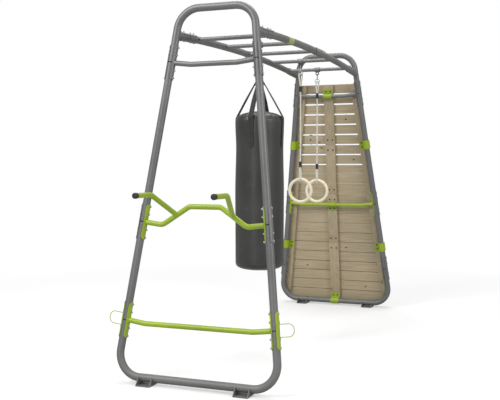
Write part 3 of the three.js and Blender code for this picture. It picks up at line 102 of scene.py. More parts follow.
# %% A wrapper for a number that a node puts out
class Value:
    """A number that a node puts out."""

    def __init__(self, graph, socket):
        self.graph = graph
        self.socket = socket

    def math(self, operation, *others, first=None):
        values = [self, *others] if first is None else [first, self]
        return self.graph.node("ShaderNodeMath", {"operation": operation}, dict(enumerate(values)))

    def __add__(self, other):
        return self.math("ADD", other)

    def __mul__(self, other):
        return self.math("MULTIPLY", other)

    def __sub__(self, other):
        return self.math("SUBTRACT", other)

    def __rsub__(self, other):
        return self.math("SUBTRACT", first=other)

    def __truediv__(self, other):
        return self.math("DIVIDE", other)

    def __pow__(self, other):
        return self.math("POWER", other)

    __radd__ = __add__
    __rmul__ = __mul__


print("signs that become Math nodes: + - * / **")

# %% A wrapper for a tree of nodes
class Graph:
    """A tree of nodes."""

    def __init__(self, tree):
        self.tree = tree

    def fill(self, made, inputs):
        for key, value in inputs.items():
            if isinstance(value, Value):
                self.tree.links.new(value.socket, made.inputs[key])
            else:
                made.inputs[key].default_value = value

    def node(self, kind, settings=None, inputs=None, out=0):
        made = self.tree.nodes.new(kind)
        for key, value in (settings or {}).items():
            setattr(made, key, value)
        self.fill(made, inputs or {})
        if isinstance(out, tuple):
            return [Value(self, made.outputs[key]) for key in out]
        return Value(self, made.outputs[out]) if len(made.outputs) else made

    def mix(self, share, first, second):
        inputs = {0: share, 6: first, 7: second}
        return self.node("ShaderNodeMix", {"data_type": "RGBA"}, inputs, 2)

    def split(self, place):
        return self.node("ShaderNodeSeparateXYZ", {}, {0: place}, (0, 1, 2))

    def combined(self, x, y, z):
        return self.node("ShaderNodeCombineXYZ", {}, {0: x, 1: y, 2: z})

    def number(self, name):
        """A number kept on the mesh under a name."""
        return self.node("ShaderNodeAttribute", {"attribute_name": name}, {}, "Fac")

    def direction(self, name):
        """A direction kept on the points under a name."""
        settings = {"data_type": "FLOAT_VECTOR"}
        return self.node("GeometryNodeInputNamedAttribute", settings, {"Name": name}, "Attribute")

    def stored(self, geometry, name, value, domain="POINT"):
        """The geometry, which now keeps a number under a name."""
        settings = {"data_type": "FLOAT", "domain": domain}
        inputs = {"Geometry": geometry, "Name": name, "Value": value}
        return self.node("GeometryNodeStoreNamedAttribute", settings, inputs)

    def ramp(self, value, *stops):
        made = self.tree.nodes.new("ShaderNodeValToRGB")
        elements = made.color_ramp.elements
        while len(elements) < len(stops):
            elements.new(0.5)
        for element, (place, shade) in zip(elements, stops):
            element.position = place
            element.color = (shade, shade, shade, 1)
        self.fill(made, {0: value})
        return Value(self, made.outputs[0])

    def patch(self, value, start, end, first, second, most=1.0):
        """Mixes from first to second, up to a share, while the value goes from start to end."""
        return self.mix(self.ramp(value, (start, 0.0), (end, most)), first, second)


print("a tree's wrapper has", [name for name in vars(Graph) if not name.startswith("_")])

# %% [markdown]
# A picture's colours are stored on a curve, so that dark tones get more steps. A shader
# counts in light, so each colour is turned into light values before it goes into a socket.

# %% Colours as a shader counts them
def linear(*rgb):
    """A colour as a picture has it, from 0 to 255, turned into the light values of a shader."""
    shares = [part / 255 for part in rgb]
    light = [s / 12.92 if s <= 0.04045 else ((s + 0.055) / 1.055) ** 2.4 for s in shares]
    return (*light, 1)


print("a middle grey in light values", [round(v, 3) for v in linear(128, 128, 128)])

# %% [markdown]
# ## Finishes
# Each finish starts from the place on the piece, because every object here sits at the
# origin and its own coordinates are the real ones. Noise at a few sizes gives what the eye
# reads as real: a slow drift of colour, a fine grain and a roughness that isn't even.

# %% Start a material and end it in a shader
def new_material(name):
    made = bpy.data.materials.new(name)
    made.use_nodes = True
    made.node_tree.nodes.clear()
    graph = Graph(made.node_tree)
    place = graph.node("ShaderNodeTexCoord", out="Object")
    return made, graph, place


def noise_at(graph, place, scale, detail, roughness=0.5):
    inputs = {"Vector": place, "Scale": scale, "Detail": detail, "Roughness": roughness}
    return graph.node("ShaderNodeTexNoise", {}, inputs)


def end_in_shader(graph, color, roughness, relief, metallic=0, sheen=0.0):
    """Ends a material. The relief is a height, its depth in metres and its strength."""
    bump = dict(zip(("Height", "Distance", "Strength"), relief))
    inputs = {"Base Color": color, "Roughness": roughness, "Metallic": metallic, "Sheen Weight": sheen}
    inputs["Normal"] = graph.node("ShaderNodeBump", {}, bump)
    shader = graph.node("ShaderNodeBsdfPrincipled", {}, inputs)
    graph.node("ShaderNodeOutputMaterial", {}, {"Surface": shader})


def stretched(graph, place, x, y, z):
    return graph.node("ShaderNodeVectorMath", {"operation": "MULTIPLY"}, {0: place, 1: (x, y, z)})


print("finishes start from object coordinates")

# %% [markdown]
# ### Powder coat
# The tubes and plates are powder coated. The coat flows into a very shallow orange peel and
# gathers a little dust, so the colour drifts and the shine breaks up. Near the ground it is
# dulled a little more.

# %% Powder coat in several colours
def powder_coat(name, rgb, metallic, roughness):
    made, graph, place = new_material(name)
    drift = noise_at(graph, place, 3.5, 4)
    peel = noise_at(graph, place, 420, 2)
    specks = noise_at(graph, place, 90, 5, 0.7)
    height = graph.split(place)[2]
    dust = graph.ramp(height + (drift - 0.5) * 0.2, (0.02, 1.0), (0.32, 0.0))
    shade = [part * 0.86 for part in linear(*rgb)[:3]]
    light = [min(1, part * 1.12) for part in linear(*rgb)[:3]]
    paint = graph.patch(drift, 0.3, 0.7, (*shade, 1), (*light, 1))
    worn = graph.patch(specks, 0.62, 0.74, paint, (*shade, 1), 0.35)
    color = graph.mix(dust * 0.1, worn, linear(128, 124, 116))
    rough = roughness + (drift - 0.5) * 0.12 + dust * 0.12 + specks * 0.05
    end_in_shader(graph, color, rough, (peel, 0.0004, 0.35), metallic)
    return made


GREY_PAINT = powder_coat("grey powder coat", (110, 111, 110), 0.3, 0.4)
GREEN_PAINT = powder_coat("green powder coat", (143, 167, 30), 0.0, 0.36)
BLACK_COAT = powder_coat("black powder coat", (52, 52, 54), 0.2, 0.4)
print("powder coats", [m.name for m in (GREY_PAINT, GREEN_PAINT, BLACK_COAT)])

# %% [markdown]
# ### Metal fittings
# Bolts, nuts, links and rings are zinc plated. Plating has faint grey spangles and fine
# handling scratches, so both the colour and the roughness get a cell pattern.

# %% Zinc plate
def zinc_plate(name, rgb, roughness):
    made, graph, place = new_material(name)
    cells = {"Vector": place, "Scale": 260.0}
    spangle = graph.node("ShaderNodeTexVoronoi", {"feature": "F1"}, cells, "Color")
    tone = graph.split(spangle)[0]
    scratches = noise_at(graph, stretched(graph, place, 40, 900, 900), 1.0, 4, 0.7)
    dark = tuple(part * 0.7 for part in linear(*rgb)[:3])
    color = graph.mix(tone * 0.45, linear(*rgb), (*dark, 1))
    rough = roughness + tone * 0.12 + scratches * 0.1
    end_in_shader(graph, color, rough, (scratches, 0.0002, 0.4), 0.95)
    return made


ZINC = zinc_plate("zinc plate", (176, 178, 180), 0.26)
print("metal", ZINC.name)

# %% [markdown]
# ### Wood
# The planks are planed softwood, weathered to a grey tan. Growth rings cut lengthwise show as
# long thin lines, so the noise is stretched along the plank. Each board has its own number,
# which shifts its tone and slides its grain, because no two boards are sawn alike. A few
# knots interrupt the lines.

# %% Weathered planks
def softwood(name, rgb, along):
    made, graph, place = new_material(name)
    board = graph.number("board")
    random = graph.node("ShaderNodeTexWhiteNoise", {"noise_dimensions": "1D"}, {"W": board + 0.37}, 0)
    x, y, z = graph.split(place)
    shifted = graph.combined(x + random * 3.1, y, z + board * 0.113)
    stretch = (1.6, 34, 34) if along == "x" else (34, 34, 1.6)
    knot_stretch = (3.4, 6, 6) if along == "x" else (6, 6, 3.4)
    lines = noise_at(graph, stretched(graph, shifted, *stretch), 2.2, 6, 0.62)
    fibres = noise_at(graph, stretched(graph, shifted, *(3 * part for part in stretch)), 6.0, 3, 0.7)
    patches = noise_at(graph, shifted, 2.4, 3)
    knot_cells = {"Vector": stretched(graph, shifted, *knot_stretch), "Scale": 1.0}
    knot_far = graph.node("ShaderNodeTexVoronoi", {"feature": "F1"}, knot_cells, "Distance")
    knot = graph.ramp(knot_far, (0.035, 1.0), (0.075, 0.0))
    base = linear(*rgb)
    dark = linear(*(part * 0.78 for part in rgb))
    pale = linear(*(min(255, part * 1.08) for part in rgb))
    grain = graph.ramp(lines, (0.35, 0.0), (0.66, 1.0))
    color = graph.mix(grain * 0.75, pale, dark)
    color = graph.mix(random * 0.55, color, base)
    color = graph.patch(patches, 0.45, 0.8, color, linear(150, 143, 128), 0.4)
    color = graph.mix(knot * 0.8, color, linear(98, 74, 50))
    rough = 0.66 + fibres * 0.18
    relief = grain * -0.6 + fibres * 0.4 - knot * 0.5
    end_in_shader(graph, color, rough, (relief, 0.0012, 0.7))
    return made


PLANK_WOOD = softwood("weathered planks", (172, 157, 128), "x")
BATTEN_WOOD = softwood("weathered battens", (166, 151, 123), "z")
print("wood", PLANK_WOOD.name, BATTEN_WOOD.name)

# %% [markdown]
# ### The bag's cover
# The cover is a coated cloth. A cell pattern gives its pebbled grain, and long soft creases
# are worn a little paler. Near a seam, which the mesh keeps as an attribute, the surface sinks,
# and the colour is darkened there as painted shade in the seam's groove.

# %% Coated cloth
def bag_cover(name):
    made, graph, place = new_material(name)
    cells = {"Vector": place, "Scale": 330.0}
    pebble = graph.node("ShaderNodeTexVoronoi", {"feature": "F1"}, cells, "Distance")
    creases = noise_at(graph, stretched(graph, place, 1.0, 1.0, 2.6), 9.0, 5, 0.6)
    drift = noise_at(graph, place, 4.0, 4)
    seam = graph.number("seam")
    color = graph.patch(drift, 0.3, 0.7, linear(46, 46, 44), linear(57, 56, 54))
    color = graph.patch(creases, 0.6, 0.78, color, linear(74, 72, 69), 0.5)
    # Painted shade: the colour darkens along the seams, in their sunk groove.
    color = graph.mix(seam * 0.7, color, linear(38, 37, 36))
    relief = pebble * 0.35 + creases * 0.9 - seam * 1.5
    end_in_shader(graph, color, 0.32 + drift * 0.14, (relief, 0.0012, 0.4))
    return made


BAG_COVER = bag_cover("bag cover")
print("cover", BAG_COVER.name)

# %% [markdown]
# ### Webbing
# The bag's straps are woven, so their ribs are two crossed waves. The waves run in the
# strap's own lengths, along it and across it, which the mesh keeps as attributes. So the
# ribs follow the strap wherever it bends.

# %% Woven straps
def webbing(name, rgb):
    made, graph, _ = new_material(name)
    cords = (graph.number("across") * 1500).math("SINE")
    rib = (graph.number("along") * 2400 + cords).math("SINE")
    weave = rib * cords
    color = graph.patch(weave, 0.0, 1.0, linear(*rgb), linear(*(part + 22 for part in rgb)), 0.5)
    end_in_shader(graph, color, 0.86, (weave, 0.0006, 0.8), sheen=0.2)
    return made


WEBBING = webbing("black webbing", (44, 43, 42))
print("webbing", WEBBING.name)

# %% [markdown]
# ### Moulded pieces
# The adjusters, the grips' caps, the gym rings and the climbing holds come out of moulds. One
# recipe serves them all: a colour that drifts a little and a fine texture. A ring is
# smooth, and a hold is made rough, so that hands and shoes don't slip.

# %% Plastic, rings and holds
def moulded(name, rgb, roughness=0.45, grain=700):
    made, graph, place = new_material(name)
    texture = noise_at(graph, place, grain, 2)
    drift = noise_at(graph, place, 14, 3)
    color = graph.mix(drift * 0.4, linear(*rgb), linear(*(part * 0.86 for part in rgb)))
    rough = roughness + (drift - 0.5) * 0.14 + texture * 0.08
    end_in_shader(graph, color, rough, (texture, 0.0003, 0.4))
    return made


BLACK_PLASTIC = moulded("black plastic", (34, 34, 34))
RING_CREAM = moulded("cream ring", (233, 224, 197), 0.4, 300)
HOLD_GREEN = moulded("green hold", (134, 164, 52), 0.8, 900)
HOLD_GREY = moulded("grey hold", (126, 126, 122), 0.8, 900)
print("moulded", [m.name for m in (BLACK_PLASTIC, RING_CREAM, HOLD_GREEN, HOLD_GREY)])

# %% [markdown]
# ### Rope
# A rope is twisted from strands, and its grooves lie in shade. The mesh keeps how far each
# point stands out, so the colour goes from dusky in a groove to pale on a strand's crown, and
# fine fibres break it up.

# %% Twisted rope
def twisted_rope(name):
    made, graph, place = new_material(name)
    fibres = noise_at(graph, stretched(graph, place, 1.0, 1.0, 0.35), 1400, 3, 0.7)
    color = graph.patch(graph.number("crown"), 0.1, 0.7, linear(168, 162, 148), linear(233, 229, 219))
    color = graph.patch(fibres, 0.45, 0.7, color, linear(196, 190, 176), 0.4)
    end_in_shader(graph, color, 0.85, (fibres, 0.0005, 0.6), sheen=0.15)
    return made


ROPE = twisted_rope("twisted rope")
print("rope", ROPE.name, "and", len(bpy.data.materials), "materials so far")

# %% [markdown]
# ## A round tube along a route
# Every tube is bent from straight stock: straight runs joined by arcs of one radius. A helper
# turns corner points into that route. A Geometry Nodes tree then sweeps a circle along the
# route, which is how a tube is best made, because its radius and its roundness stay inputs.

# %% Work out a route with bends
BEND_STEP = math.radians(5)
WHOLE_TURN = 2 * math.pi


def bent_route(corners, radii, step=BEND_STEP):
    """Points along straight runs with an arc at each inner corner."""
    corners = [Vector(corner) for corner in corners]
    if not isinstance(radii, (list, tuple)):
        radii = [radii] * (len(corners) - 2)
    points = [corners[0]]
    for before, corner, after, radius in zip(corners, corners[1:], corners[2:], radii):
        came, goes = (corner - before).normalized(), (after - corner).normalized()
        turn = came.angle(goes)
        start = corner - came * radius * math.tan(turn / 2)
        axis = came.cross(goes).normalized()
        arm = came.cross(axis) * radius
        count = max(2, math.ceil(turn / step))
        for i in range(count + 1):
            points.append(start - arm + Matrix.Rotation(turn * i / count, 3, axis) @ arm)
    return [*points, corners[-1]]


def all_round(count):
    """Evenly spaced angles round a circle."""
    return [WHOLE_TURN * i / count for i in range(count)]


def route_length(points):
    return sum((b - a).length for a, b in zip(points, points[1:]))


quarter = bent_route([(0, 0, 0), (1, 0, 0), (1, 1, 0)], 0.5)
print("a quarter bend of 0.5 m adds up to", round(route_length(quarter), 3), "m")

# %% Sweep a circle along a curve
def new_tree(name, **inputs):
    """A Geometry Nodes tree with a geometry input and the named ones, and its wrapped ends."""
    tree = bpy.data.node_groups.new(name, "GeometryNodeTree")
    tree.interface.new_socket("Geometry", in_out="INPUT", socket_type="NodeSocketGeometry")
    for key, kind in inputs.items():
        tree.interface.new_socket(key, in_out="INPUT", socket_type="NodeSocket" + kind)
    tree.interface.new_socket("Geometry", in_out="OUTPUT", socket_type="NodeSocketGeometry")
    graph = Graph(tree)
    source = tree.nodes.new("NodeGroupInput")
    given = {socket.name: Value(graph, socket) for socket in source.outputs if socket.name}
    return graph, given


def end_tree(graph, geometry, material):
    """Real geometry with its material."""
    real = graph.node("GeometryNodeRealizeInstances", {}, {0: geometry})
    dressed = graph.node("GeometryNodeSetMaterial", {}, {"Geometry": real, "Material": material})
    output = graph.tree.nodes.new("NodeGroupOutput")
    graph.fill(output, {0: dressed})
    return graph.tree


def run_tree(tree, source, **values):
    """Puts the tree on an object, and gives back the mesh that comes out."""
    modifier = source.modifiers.new("nodes", "NODES")
    modifier.node_group = tree
    for item in tree.interface.items_tree:
        if item.in_out == "INPUT" and item.name in values:
            modifier[item.identifier] = values[item.name]
    bpy.context.view_layer.update()
    graph = bpy.context.evaluated_depsgraph_get()
    mesh = bpy.data.meshes.new_from_object(source.evaluated_get(graph), depsgraph=graph)
    bpy.data.objects.remove(source)
    mesh.materials.clear()
    mesh.materials.append(values["Material"])
    mesh.polygons.foreach_set("material_index", [0] * len(mesh.polygons))
    return mesh


def tube_tree():
    graph, given = new_tree("tube", Radius="Float", Sides="Int", Material="Material")
    outline = {"Resolution": given["Sides"], "Radius": given["Radius"]}
    circle = graph.node("GeometryNodeCurvePrimitiveCircle", {}, outline)
    length, share = graph.node("GeometryNodeSplineParameter", {}, {}, ("Length", "Factor"))
    route = graph.stored(given["Geometry"], "along", length)
    ring = graph.stored(circle, "around", share)
    inputs = {"Curve": route, "Profile Curve": ring, "Fill Caps": True}
    swept = graph.node("GeometryNodeCurveToMesh", {}, inputs)
    return end_tree(graph, swept, given["Material"])


TUBE_TREE = tube_tree()
print("tree", TUBE_TREE.name, "has", len(TUBE_TREE.nodes), "nodes")

# %% Turn a route into a tube's mesh
def curve_object(points, closed=False):
    data = bpy.data.curves.new("route", "CURVE")
    data.dimensions = "3D"
    spline = data.splines.new("POLY")
    spline.points.add(len(points) - 1)
    for point, place in zip(spline.points, points):
        point.co = (*place, 1)
    spline.use_cyclic_u = closed
    route = bpy.data.objects.new("route", data)
    scene.collection.objects.link(route)
    return route


def tube(points, radius, material, sides=28, closed=False):
    route = curve_object(points, closed)
    return run_tree(TUBE_TREE, route, Radius=radius, Sides=sides, Material=material)


print("a tube takes a route, a radius and a material")

# %% [markdown]
# ## From meshes to a piece
# A piece that is welded or screwed together is one object with several parts, so a helper
# joins meshes and keeps each face's material. Another makes the object, smooths what is round,
# keeps sharp edges sharp, hangs it on the body that carries it and hides the solids it stands for.

# %% Join meshes and finish a piece
SMOOTH_BELOW = math.radians(38)


def joined(*meshes):
    """Several meshes as one, with their materials and attributes."""
    whole = bmesh.new()
    names = []
    for mesh in meshes:
        shift = []
        for used in mesh.materials:
            if used.name not in names:
                names.append(used.name)
            shift.append(names.index(used.name))
        before = len(whole.faces)
        whole.from_mesh(mesh)
        whole.faces.ensure_lookup_table()
        for face in whole.faces[before:]:
            face.material_index = shift[face.material_index] if shift else 0
    result = bpy.data.meshes.new("joined")
    whole.to_mesh(result)
    whole.free()
    for name in names:
        result.materials.append(bpy.data.materials[name])
    return result


def piece(name, mesh, body, replaces=(), smooth_below=SMOOTH_BELOW):
    """A finished piece: named, smooth where it is round, and riding on its body."""
    mesh.name = name
    mesh.shade_smooth()
    mesh.set_sharp_from_angle(angle=smooth_below)
    made = bpy.data.objects.new(name, mesh)
    scene.collection.objects.link(made)
    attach(made, body)
    if replaces:
        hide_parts(*replaces)
    return made


print("edges sharper than", round(math.degrees(SMOOTH_BELOW)), "degrees stay sharp")

# %% [markdown]
# ## The two end frames
# Each end frame is flat, and leans in by a few degrees. It is easiest to draw it flat, with x
# across, y up its slope and z out of its outer face, and to lay the drawing in place with one
# matrix. The legs taper inwards, so a leg's distance from the middle depends on the height.

# %% The frames' sizes and their two matrices
FRAME_SPACING = 3.228
FRAME_LEAN = math.radians(8.6)
BASE_HALF_WIDTH = 0.544
LEG_ANGLE = math.radians(7)
LOW_JOINT, MID_JOINT, HIGH_JOINT = 0.350, 0.974, 2.005
TOP_TUBE = 2.358
CORNER_RADIUS = 0.145
TUBE_RADIUS = 0.025
TUBE_RISE = 0.040
JOINT_GAP = 0.006
SIDES = (("left", -1), ("right", 1))

foot_low, foot_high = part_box("front_foot_left")
middle_y = (foot_low.y + foot_high.y) / 2 + FRAME_SPACING / 2
tilt = Matrix.Rotation(math.pi / 2 - FRAME_LEAN, 4, "X")
FRONT = Matrix.Translation((0, middle_y - FRAME_SPACING / 2, TUBE_RISE)) @ tilt
turned_tilt = Matrix.Rotation(math.pi, 4, "Z") @ tilt
REAR = Matrix.Translation((0, middle_y + FRAME_SPACING / 2, TUBE_RISE)) @ turned_tilt
FRAMES = (("front", FRONT, 1), ("rear", REAR, -1))
print("the frames stand", FRAME_SPACING, "m apart, about y =", round(middle_y, 4))


def leg_x(height):
    return BASE_HALF_WIDTH - height * math.tan(LEG_ANGLE)


def on_leg(side, height):
    return Vector((side * leg_x(height), height, 0))


def laid(points, matrix):
    return [matrix @ Vector(point) for point in points]


# %% Bend the tubes of both frames
def frame_tubes(prefix, matrix, mirror):
    gap = JOINT_GAP / 2
    top = LOW_JOINT - gap
    loop = [on_leg(-1, top), on_leg(-1, 0), on_leg(1, 0), on_leg(1, top)]
    mesh = tube(laid(bent_route(loop, CORNER_RADIUS), matrix), TUBE_RADIUS, GREY_PAINT)
    piece(f"{prefix}_base_loop", mesh, "frame", [f"{prefix}_base_tube"])
    for name, side in SIDES:
        for part, low, high in (("lower", LOW_JOINT, MID_JOINT), ("upper", MID_JOINT, HIGH_JOINT)):
            ends = [on_leg(side * mirror, low + gap), on_leg(side * mirror, high - gap)]
            mesh = tube(laid(ends, matrix), TUBE_RADIUS, GREY_PAINT)
            node = f"{prefix}_{part}_leg_{name}"
            piece(f"{prefix}_{part}_tube_{name}", mesh, "frame", [node])


for prefix, matrix, mirror in FRAMES:
    frame_tubes(prefix, matrix, mirror)
print("the legs stand", round(2 * leg_x(0), 3), "m apart on the ground")

# %% [markdown]
# ## The overhead ladder
# The rails rise in a shallow arc between the two arches, where short stubs are welded on.
# Rungs run straight across. Each half of the ladder is one welded piece, and the middle rung
# belongs to the plates that join the halves.

# %% Arches, rails and rungs
RAIL_JOIN, RAIL_RISE, RAIL_STUB = 2.184, 0.040, 0.162
SPLICE = 0.073
RUNG_RADIUS, RUNG_SPACING = 0.015, 0.490
RUNG_COUNT, MIDDLE_RUNG, RUNG_SIDES = 5, 2, 20
RAIL_X = leg_x(RAIL_JOIN)
RAIL_SPAN = FRAME_SPACING / 2 - RAIL_JOIN * math.sin(FRAME_LEAN)
RAIL_END = RAIL_SPAN - RAIL_STUB


def rail_height(y):
    return TUBE_RISE + RAIL_JOIN * math.cos(FRAME_LEAN) + RAIL_RISE * (1 - (y / RAIL_SPAN) ** 2)


def rail_slope(y):
    return -2 * RAIL_RISE * y / RAIL_SPAN**2


def rail_route(side, start, end, count=24):
    places = [start + (end - start) * i / count for i in range(count + 1)]
    return [Vector((side * RAIL_X, middle_y + y, rail_height(y))) for y in places]


def rung_centre(index):
    y = (index - (RUNG_COUNT - 1) / 2) * RUNG_SPACING
    return Vector((0, middle_y + y, rail_height(y)))


for prefix, matrix, mirror in FRAMES:
    low = HIGH_JOINT + JOINT_GAP / 2
    corners = [on_leg(-1, low), on_leg(-1, TOP_TUBE), on_leg(1, TOP_TUBE), on_leg(1, low)]
    arch = [tube(laid(bent_route(corners, CORNER_RADIUS), matrix), TUBE_RADIUS, GREY_PAINT)]
    for _, side in SIDES:
        stub = rail_route(side, -mirror * RAIL_SPAN, -mirror * (RAIL_END + JOINT_GAP / 2), 3)
        arch.append(tube(stub, TUBE_RADIUS, GREY_PAINT))
    piece(f"{prefix}_arch", joined(*arch), "frame", [f"{prefix}_top_arch"])

for name, start, end in (("front", -RAIL_END, SPLICE), ("rear", SPLICE, RAIL_END)):
    gap = JOINT_GAP / 2
    rails = [rail_route(side, start + gap, end - gap) for _, side in SIDES]
    made = [tube(route, TUBE_RADIUS, GREY_PAINT) for route in rails]
    for index in range(RUNG_COUNT):
        centre = rung_centre(index)
        if index != MIDDLE_RUNG and start < centre.y - middle_y < end:
            across = Vector((RAIL_X, 0, 0))
            made.append(tube([centre - across, centre + across], RUNG_RADIUS, GREY_PAINT, RUNG_SIDES))
    piece(f"ladder_{name}_half", joined(*made), "frame", [f"ladder_{name}"])
print("rails are", round(RAIL_X * 2, 3), "m apart, and rung 3 is", round(rung_centre(2).z, 3), "m up")

# %% [markdown]
# ## Joint plates
# Where two tubes meet, a pair of curved plates holds them, one on each side. A plate is a
# strip of a larger tube with rounded ends. It is built from its rule: for each angle round the
# tube the strip ends where the rounding says.

# %% Make one plate
PLATE_LENGTH, RAIL_PLATE_LENGTH = 0.230, 0.256
PLATE_GAP, PLATE_THICKNESS = 0.0006, 0.003
PLATE_HALF_ANGLE = math.radians(60)
PLATE_END_ROUND, PLATE_ROUND_POWER = 0.018, 2.4
PLATE_STEPS, PLATE_ROWS = 20, 10
PLATE_OUTER = TUBE_RADIUS + PLATE_GAP + PLATE_THICKNESS


def lofted(grid, rings, closed=False):
    """Faces from each ring of points to the next. A ring may be one point on the axis, repeated."""
    count = len(rings[0])
    for low_ring, high_ring in zip(rings, rings[1:] + rings[:1] if closed else rings[1:]):
        for i in range(count):
            k = (i + 1) % count
            corners = dict.fromkeys((low_ring[i], low_ring[k], high_ring[k], high_ring[i]))
            grid.faces.new(list(corners))


def solid(grid, name, material, matrix):
    """Ends a mesh that was built by hand: faces outward, laid in place, with its material."""
    bmesh.ops.recalc_face_normals(grid, faces=grid.faces)
    mesh = bpy.data.meshes.new(name)
    grid.to_mesh(mesh)
    grid.free()
    mesh.transform(matrix)
    mesh.materials.append(material)
    return mesh


def shell_plate(length, material, matrix):
    """A plate that wraps the +X side of an upright tube through the origin, laid by a matrix."""
    grid = bmesh.new()
    rings = []
    for i in range(PLATE_STEPS + 1):
        share = 2 * i / PLATE_STEPS - 1
        angle = share * PLATE_HALF_ANGLE
        half = length / 2 - PLATE_END_ROUND * abs(share) ** PLATE_ROUND_POWER
        places = [half * (2 * k / PLATE_ROWS - 1) for k in range(PLATE_ROWS + 1)]
        ring = []
        for radius, column in ((TUBE_RADIUS + PLATE_GAP, places), (PLATE_OUTER, places[::-1])):
            x, z = radius * math.cos(angle), radius * math.sin(angle)
            ring += [grid.verts.new((x, y, z)) for y in column]
        rings.append(ring)
    lofted(grid, rings)
    for ring in (rings[0], rings[-1]):
        for k in range(PLATE_ROWS):
            grid.faces.new((ring[k], ring[k + 1], ring[-2 - k], ring[-1 - k]))
    return solid(grid, "plate", material, matrix)


sample = shell_plate(PLATE_LENGTH, GREY_PAINT, Matrix())
print("a plate has", len(sample.polygons), "faces")

# %% [markdown]
# A joint sits on a leg or a rail. One matrix takes the drawing of an upright tube to that
# place, with its +X side facing away from the middle. The bolts go through the same matrix, and
# their places are kept in two lists for later, because all bolts are made in one go.

# %% Place the joints
TURN_ROUND = Matrix.Rotation(math.pi, 4, "Y")
BOLT_OFFSETS = (-0.100, -0.050, 0.050, 0.100)
BOLT_SINK = 0.0008
FLAT_FACE = PLATE_OUTER - BOLT_SINK
heads, nuts, webs = [], [], []


def leg_matrix(matrix, side, height):
    turn = TURN_ROUND if side < 0 else Matrix()
    slope = Matrix.Rotation(side * LEG_ANGLE, 4, "Z")
    return matrix @ Matrix.Translation(on_leg(side, height)) @ slope @ turn


def rail_matrix(side, y, turn):
    place = Matrix.Translation((side * RAIL_X, middle_y + y, rail_height(y)))
    slope = Matrix.Rotation(math.atan(rail_slope(y)), 4, "X")
    return place @ slope @ Matrix.Rotation(turn, 4, "Y")


def plates(matrix, length, outer, inner):
    """The meshes of a joint: a plate in the colour outer at +X, and one in inner at -X."""
    webs.append(matrix)
    made = []
    for turn, paint, bolts, flip in ((Matrix(), outer, heads, 1), (TURN_ROUND, inner, nuts, -1)):
        if paint is None:
            continue
        made.append(shell_plate(length, paint, matrix @ turn))
        for offset in BOLT_OFFSETS:
            place = matrix @ Vector((flip * FLAT_FACE, offset, 0))
            bolts.append((place, matrix.to_3x3() @ Vector((flip, 0, 0))))
    return made


for prefix, matrix, mirror in FRAMES:
    for name, side in SIDES:
        made = plates(leg_matrix(matrix, side * mirror, MID_JOINT), PLATE_LENGTH, GREY_PAINT, None)
        node = f"{prefix}_mid_plate_{name}"
        piece(f"{prefix}_mid_joint_{name}", joined(*made), "frame", [node])
for name, side in SIDES:
    made = plates(leg_matrix(REAR, -side, LOW_JOINT), PLATE_LENGTH, GREY_PAINT, GREY_PAINT)
    piece(f"rear_low_joint_{name}", joined(*made), "frame", [f"rear_low_coupler_{name}"])
    for end, y in (("front", -RAIL_END), ("rear", RAIL_END)):
        made = plates(rail_matrix(side, y, math.pi / 2), RAIL_PLATE_LENGTH, GREY_PAINT, GREY_PAINT)
        node = f"ladder_coupler_{end}_{name}"
        piece(f"ladder_joint_{end}_{name}", joined(*made), "frame", [node])
print("bolt heads", len(heads), "and nuts", len(nuts))

# %% [markdown]
# ## The bars between the legs
# Five bars run across. Four are bent a little near each leg, so that they meet it square. The
# dip bar rises in the middle and carries two handles that lean out and end in level grips.

# %% Routes of the bars
BAR_RADIUS, HANDLE_RADIUS = 0.017, 0.016
BAR_BEND_REACH, BAR_BEND_RADIUS, DIP_BEND_RADIUS = 0.140, 0.100, 0.060
DIP_TOP_HALF_WIDTH, DIP_TOP_RISE = 0.107, 0.102
HANDLE_ROOT, HANDLE_HALF_SPACING = 0.190, 0.250
ELBOW_OUT, ELBOW_RISE, ELBOW_RADIUS = 0.249, 0.138, 0.055
GRIP_LENGTH = 0.192
BAR_SIDES = 24
OUTWARD = Vector((0, -math.sin(FRAME_LEAN), math.cos(FRAME_LEAN)))


def inside_joint(side, height, reach):
    away = Vector((side * math.cos(LEG_ANGLE), math.sin(LEG_ANGLE), 0))
    return on_leg(side, height) - away * reach


def cross_bar(height, matrix, material):
    reaches = ((-1, TUBE_RADIUS), (-1, BAR_BEND_REACH), (1, BAR_BEND_REACH), (1, TUBE_RADIUS))
    corners = [inside_joint(side, height, reach) for side, reach in reaches]
    return tube(laid(bent_route(corners, BAR_BEND_RADIUS), matrix), BAR_RADIUS, material, BAR_SIDES)


def handle_route(side):
    bend = inside_joint(side, MID_JOINT, BAR_BEND_REACH)
    top = MID_JOINT + DIP_TOP_RISE
    share = (abs(bend.x) - HANDLE_ROOT) / (abs(bend.x) - DIP_TOP_HALF_WIDTH)
    root = Vector((side * HANDLE_ROOT, bend.y + share * (top - bend.y), 0))
    rise = ELBOW_RISE * math.cos(FRAME_LEAN) - ELBOW_OUT * math.sin(FRAME_LEAN)
    elbow = Vector((side * HANDLE_HALF_SPACING, root.y + rise, ELBOW_OUT))
    return [root, elbow, elbow + OUTWARD * GRIP_LENGTH]


print("a grip ends", round(handle_route(1)[-1].z, 3), "m out of the frame")

# %% Bend the bars
def both_joints(matrix, height, outer, inner):
    made = []
    for _, side in SIDES:
        made += plates(leg_matrix(matrix, side, height), PLATE_LENGTH, outer, inner)
    return made


for prefix, matrix, _ in FRAMES:
    made = both_joints(matrix, HIGH_JOINT, GREY_PAINT, GREY_PAINT)
    mesh = joined(cross_bar(HIGH_JOINT, matrix, GREY_PAINT), *made)
    piece(f"{prefix}_upper_bar", mesh, "frame", [f"{prefix}_top_bar"])
made = both_joints(REAR, MID_JOINT, None, GREEN_PAINT)
mesh = joined(cross_bar(MID_JOINT, REAR, GREEN_PAINT), *made)
piece("rear_green_bar", mesh, "frame", ["rear_mid_bar"])

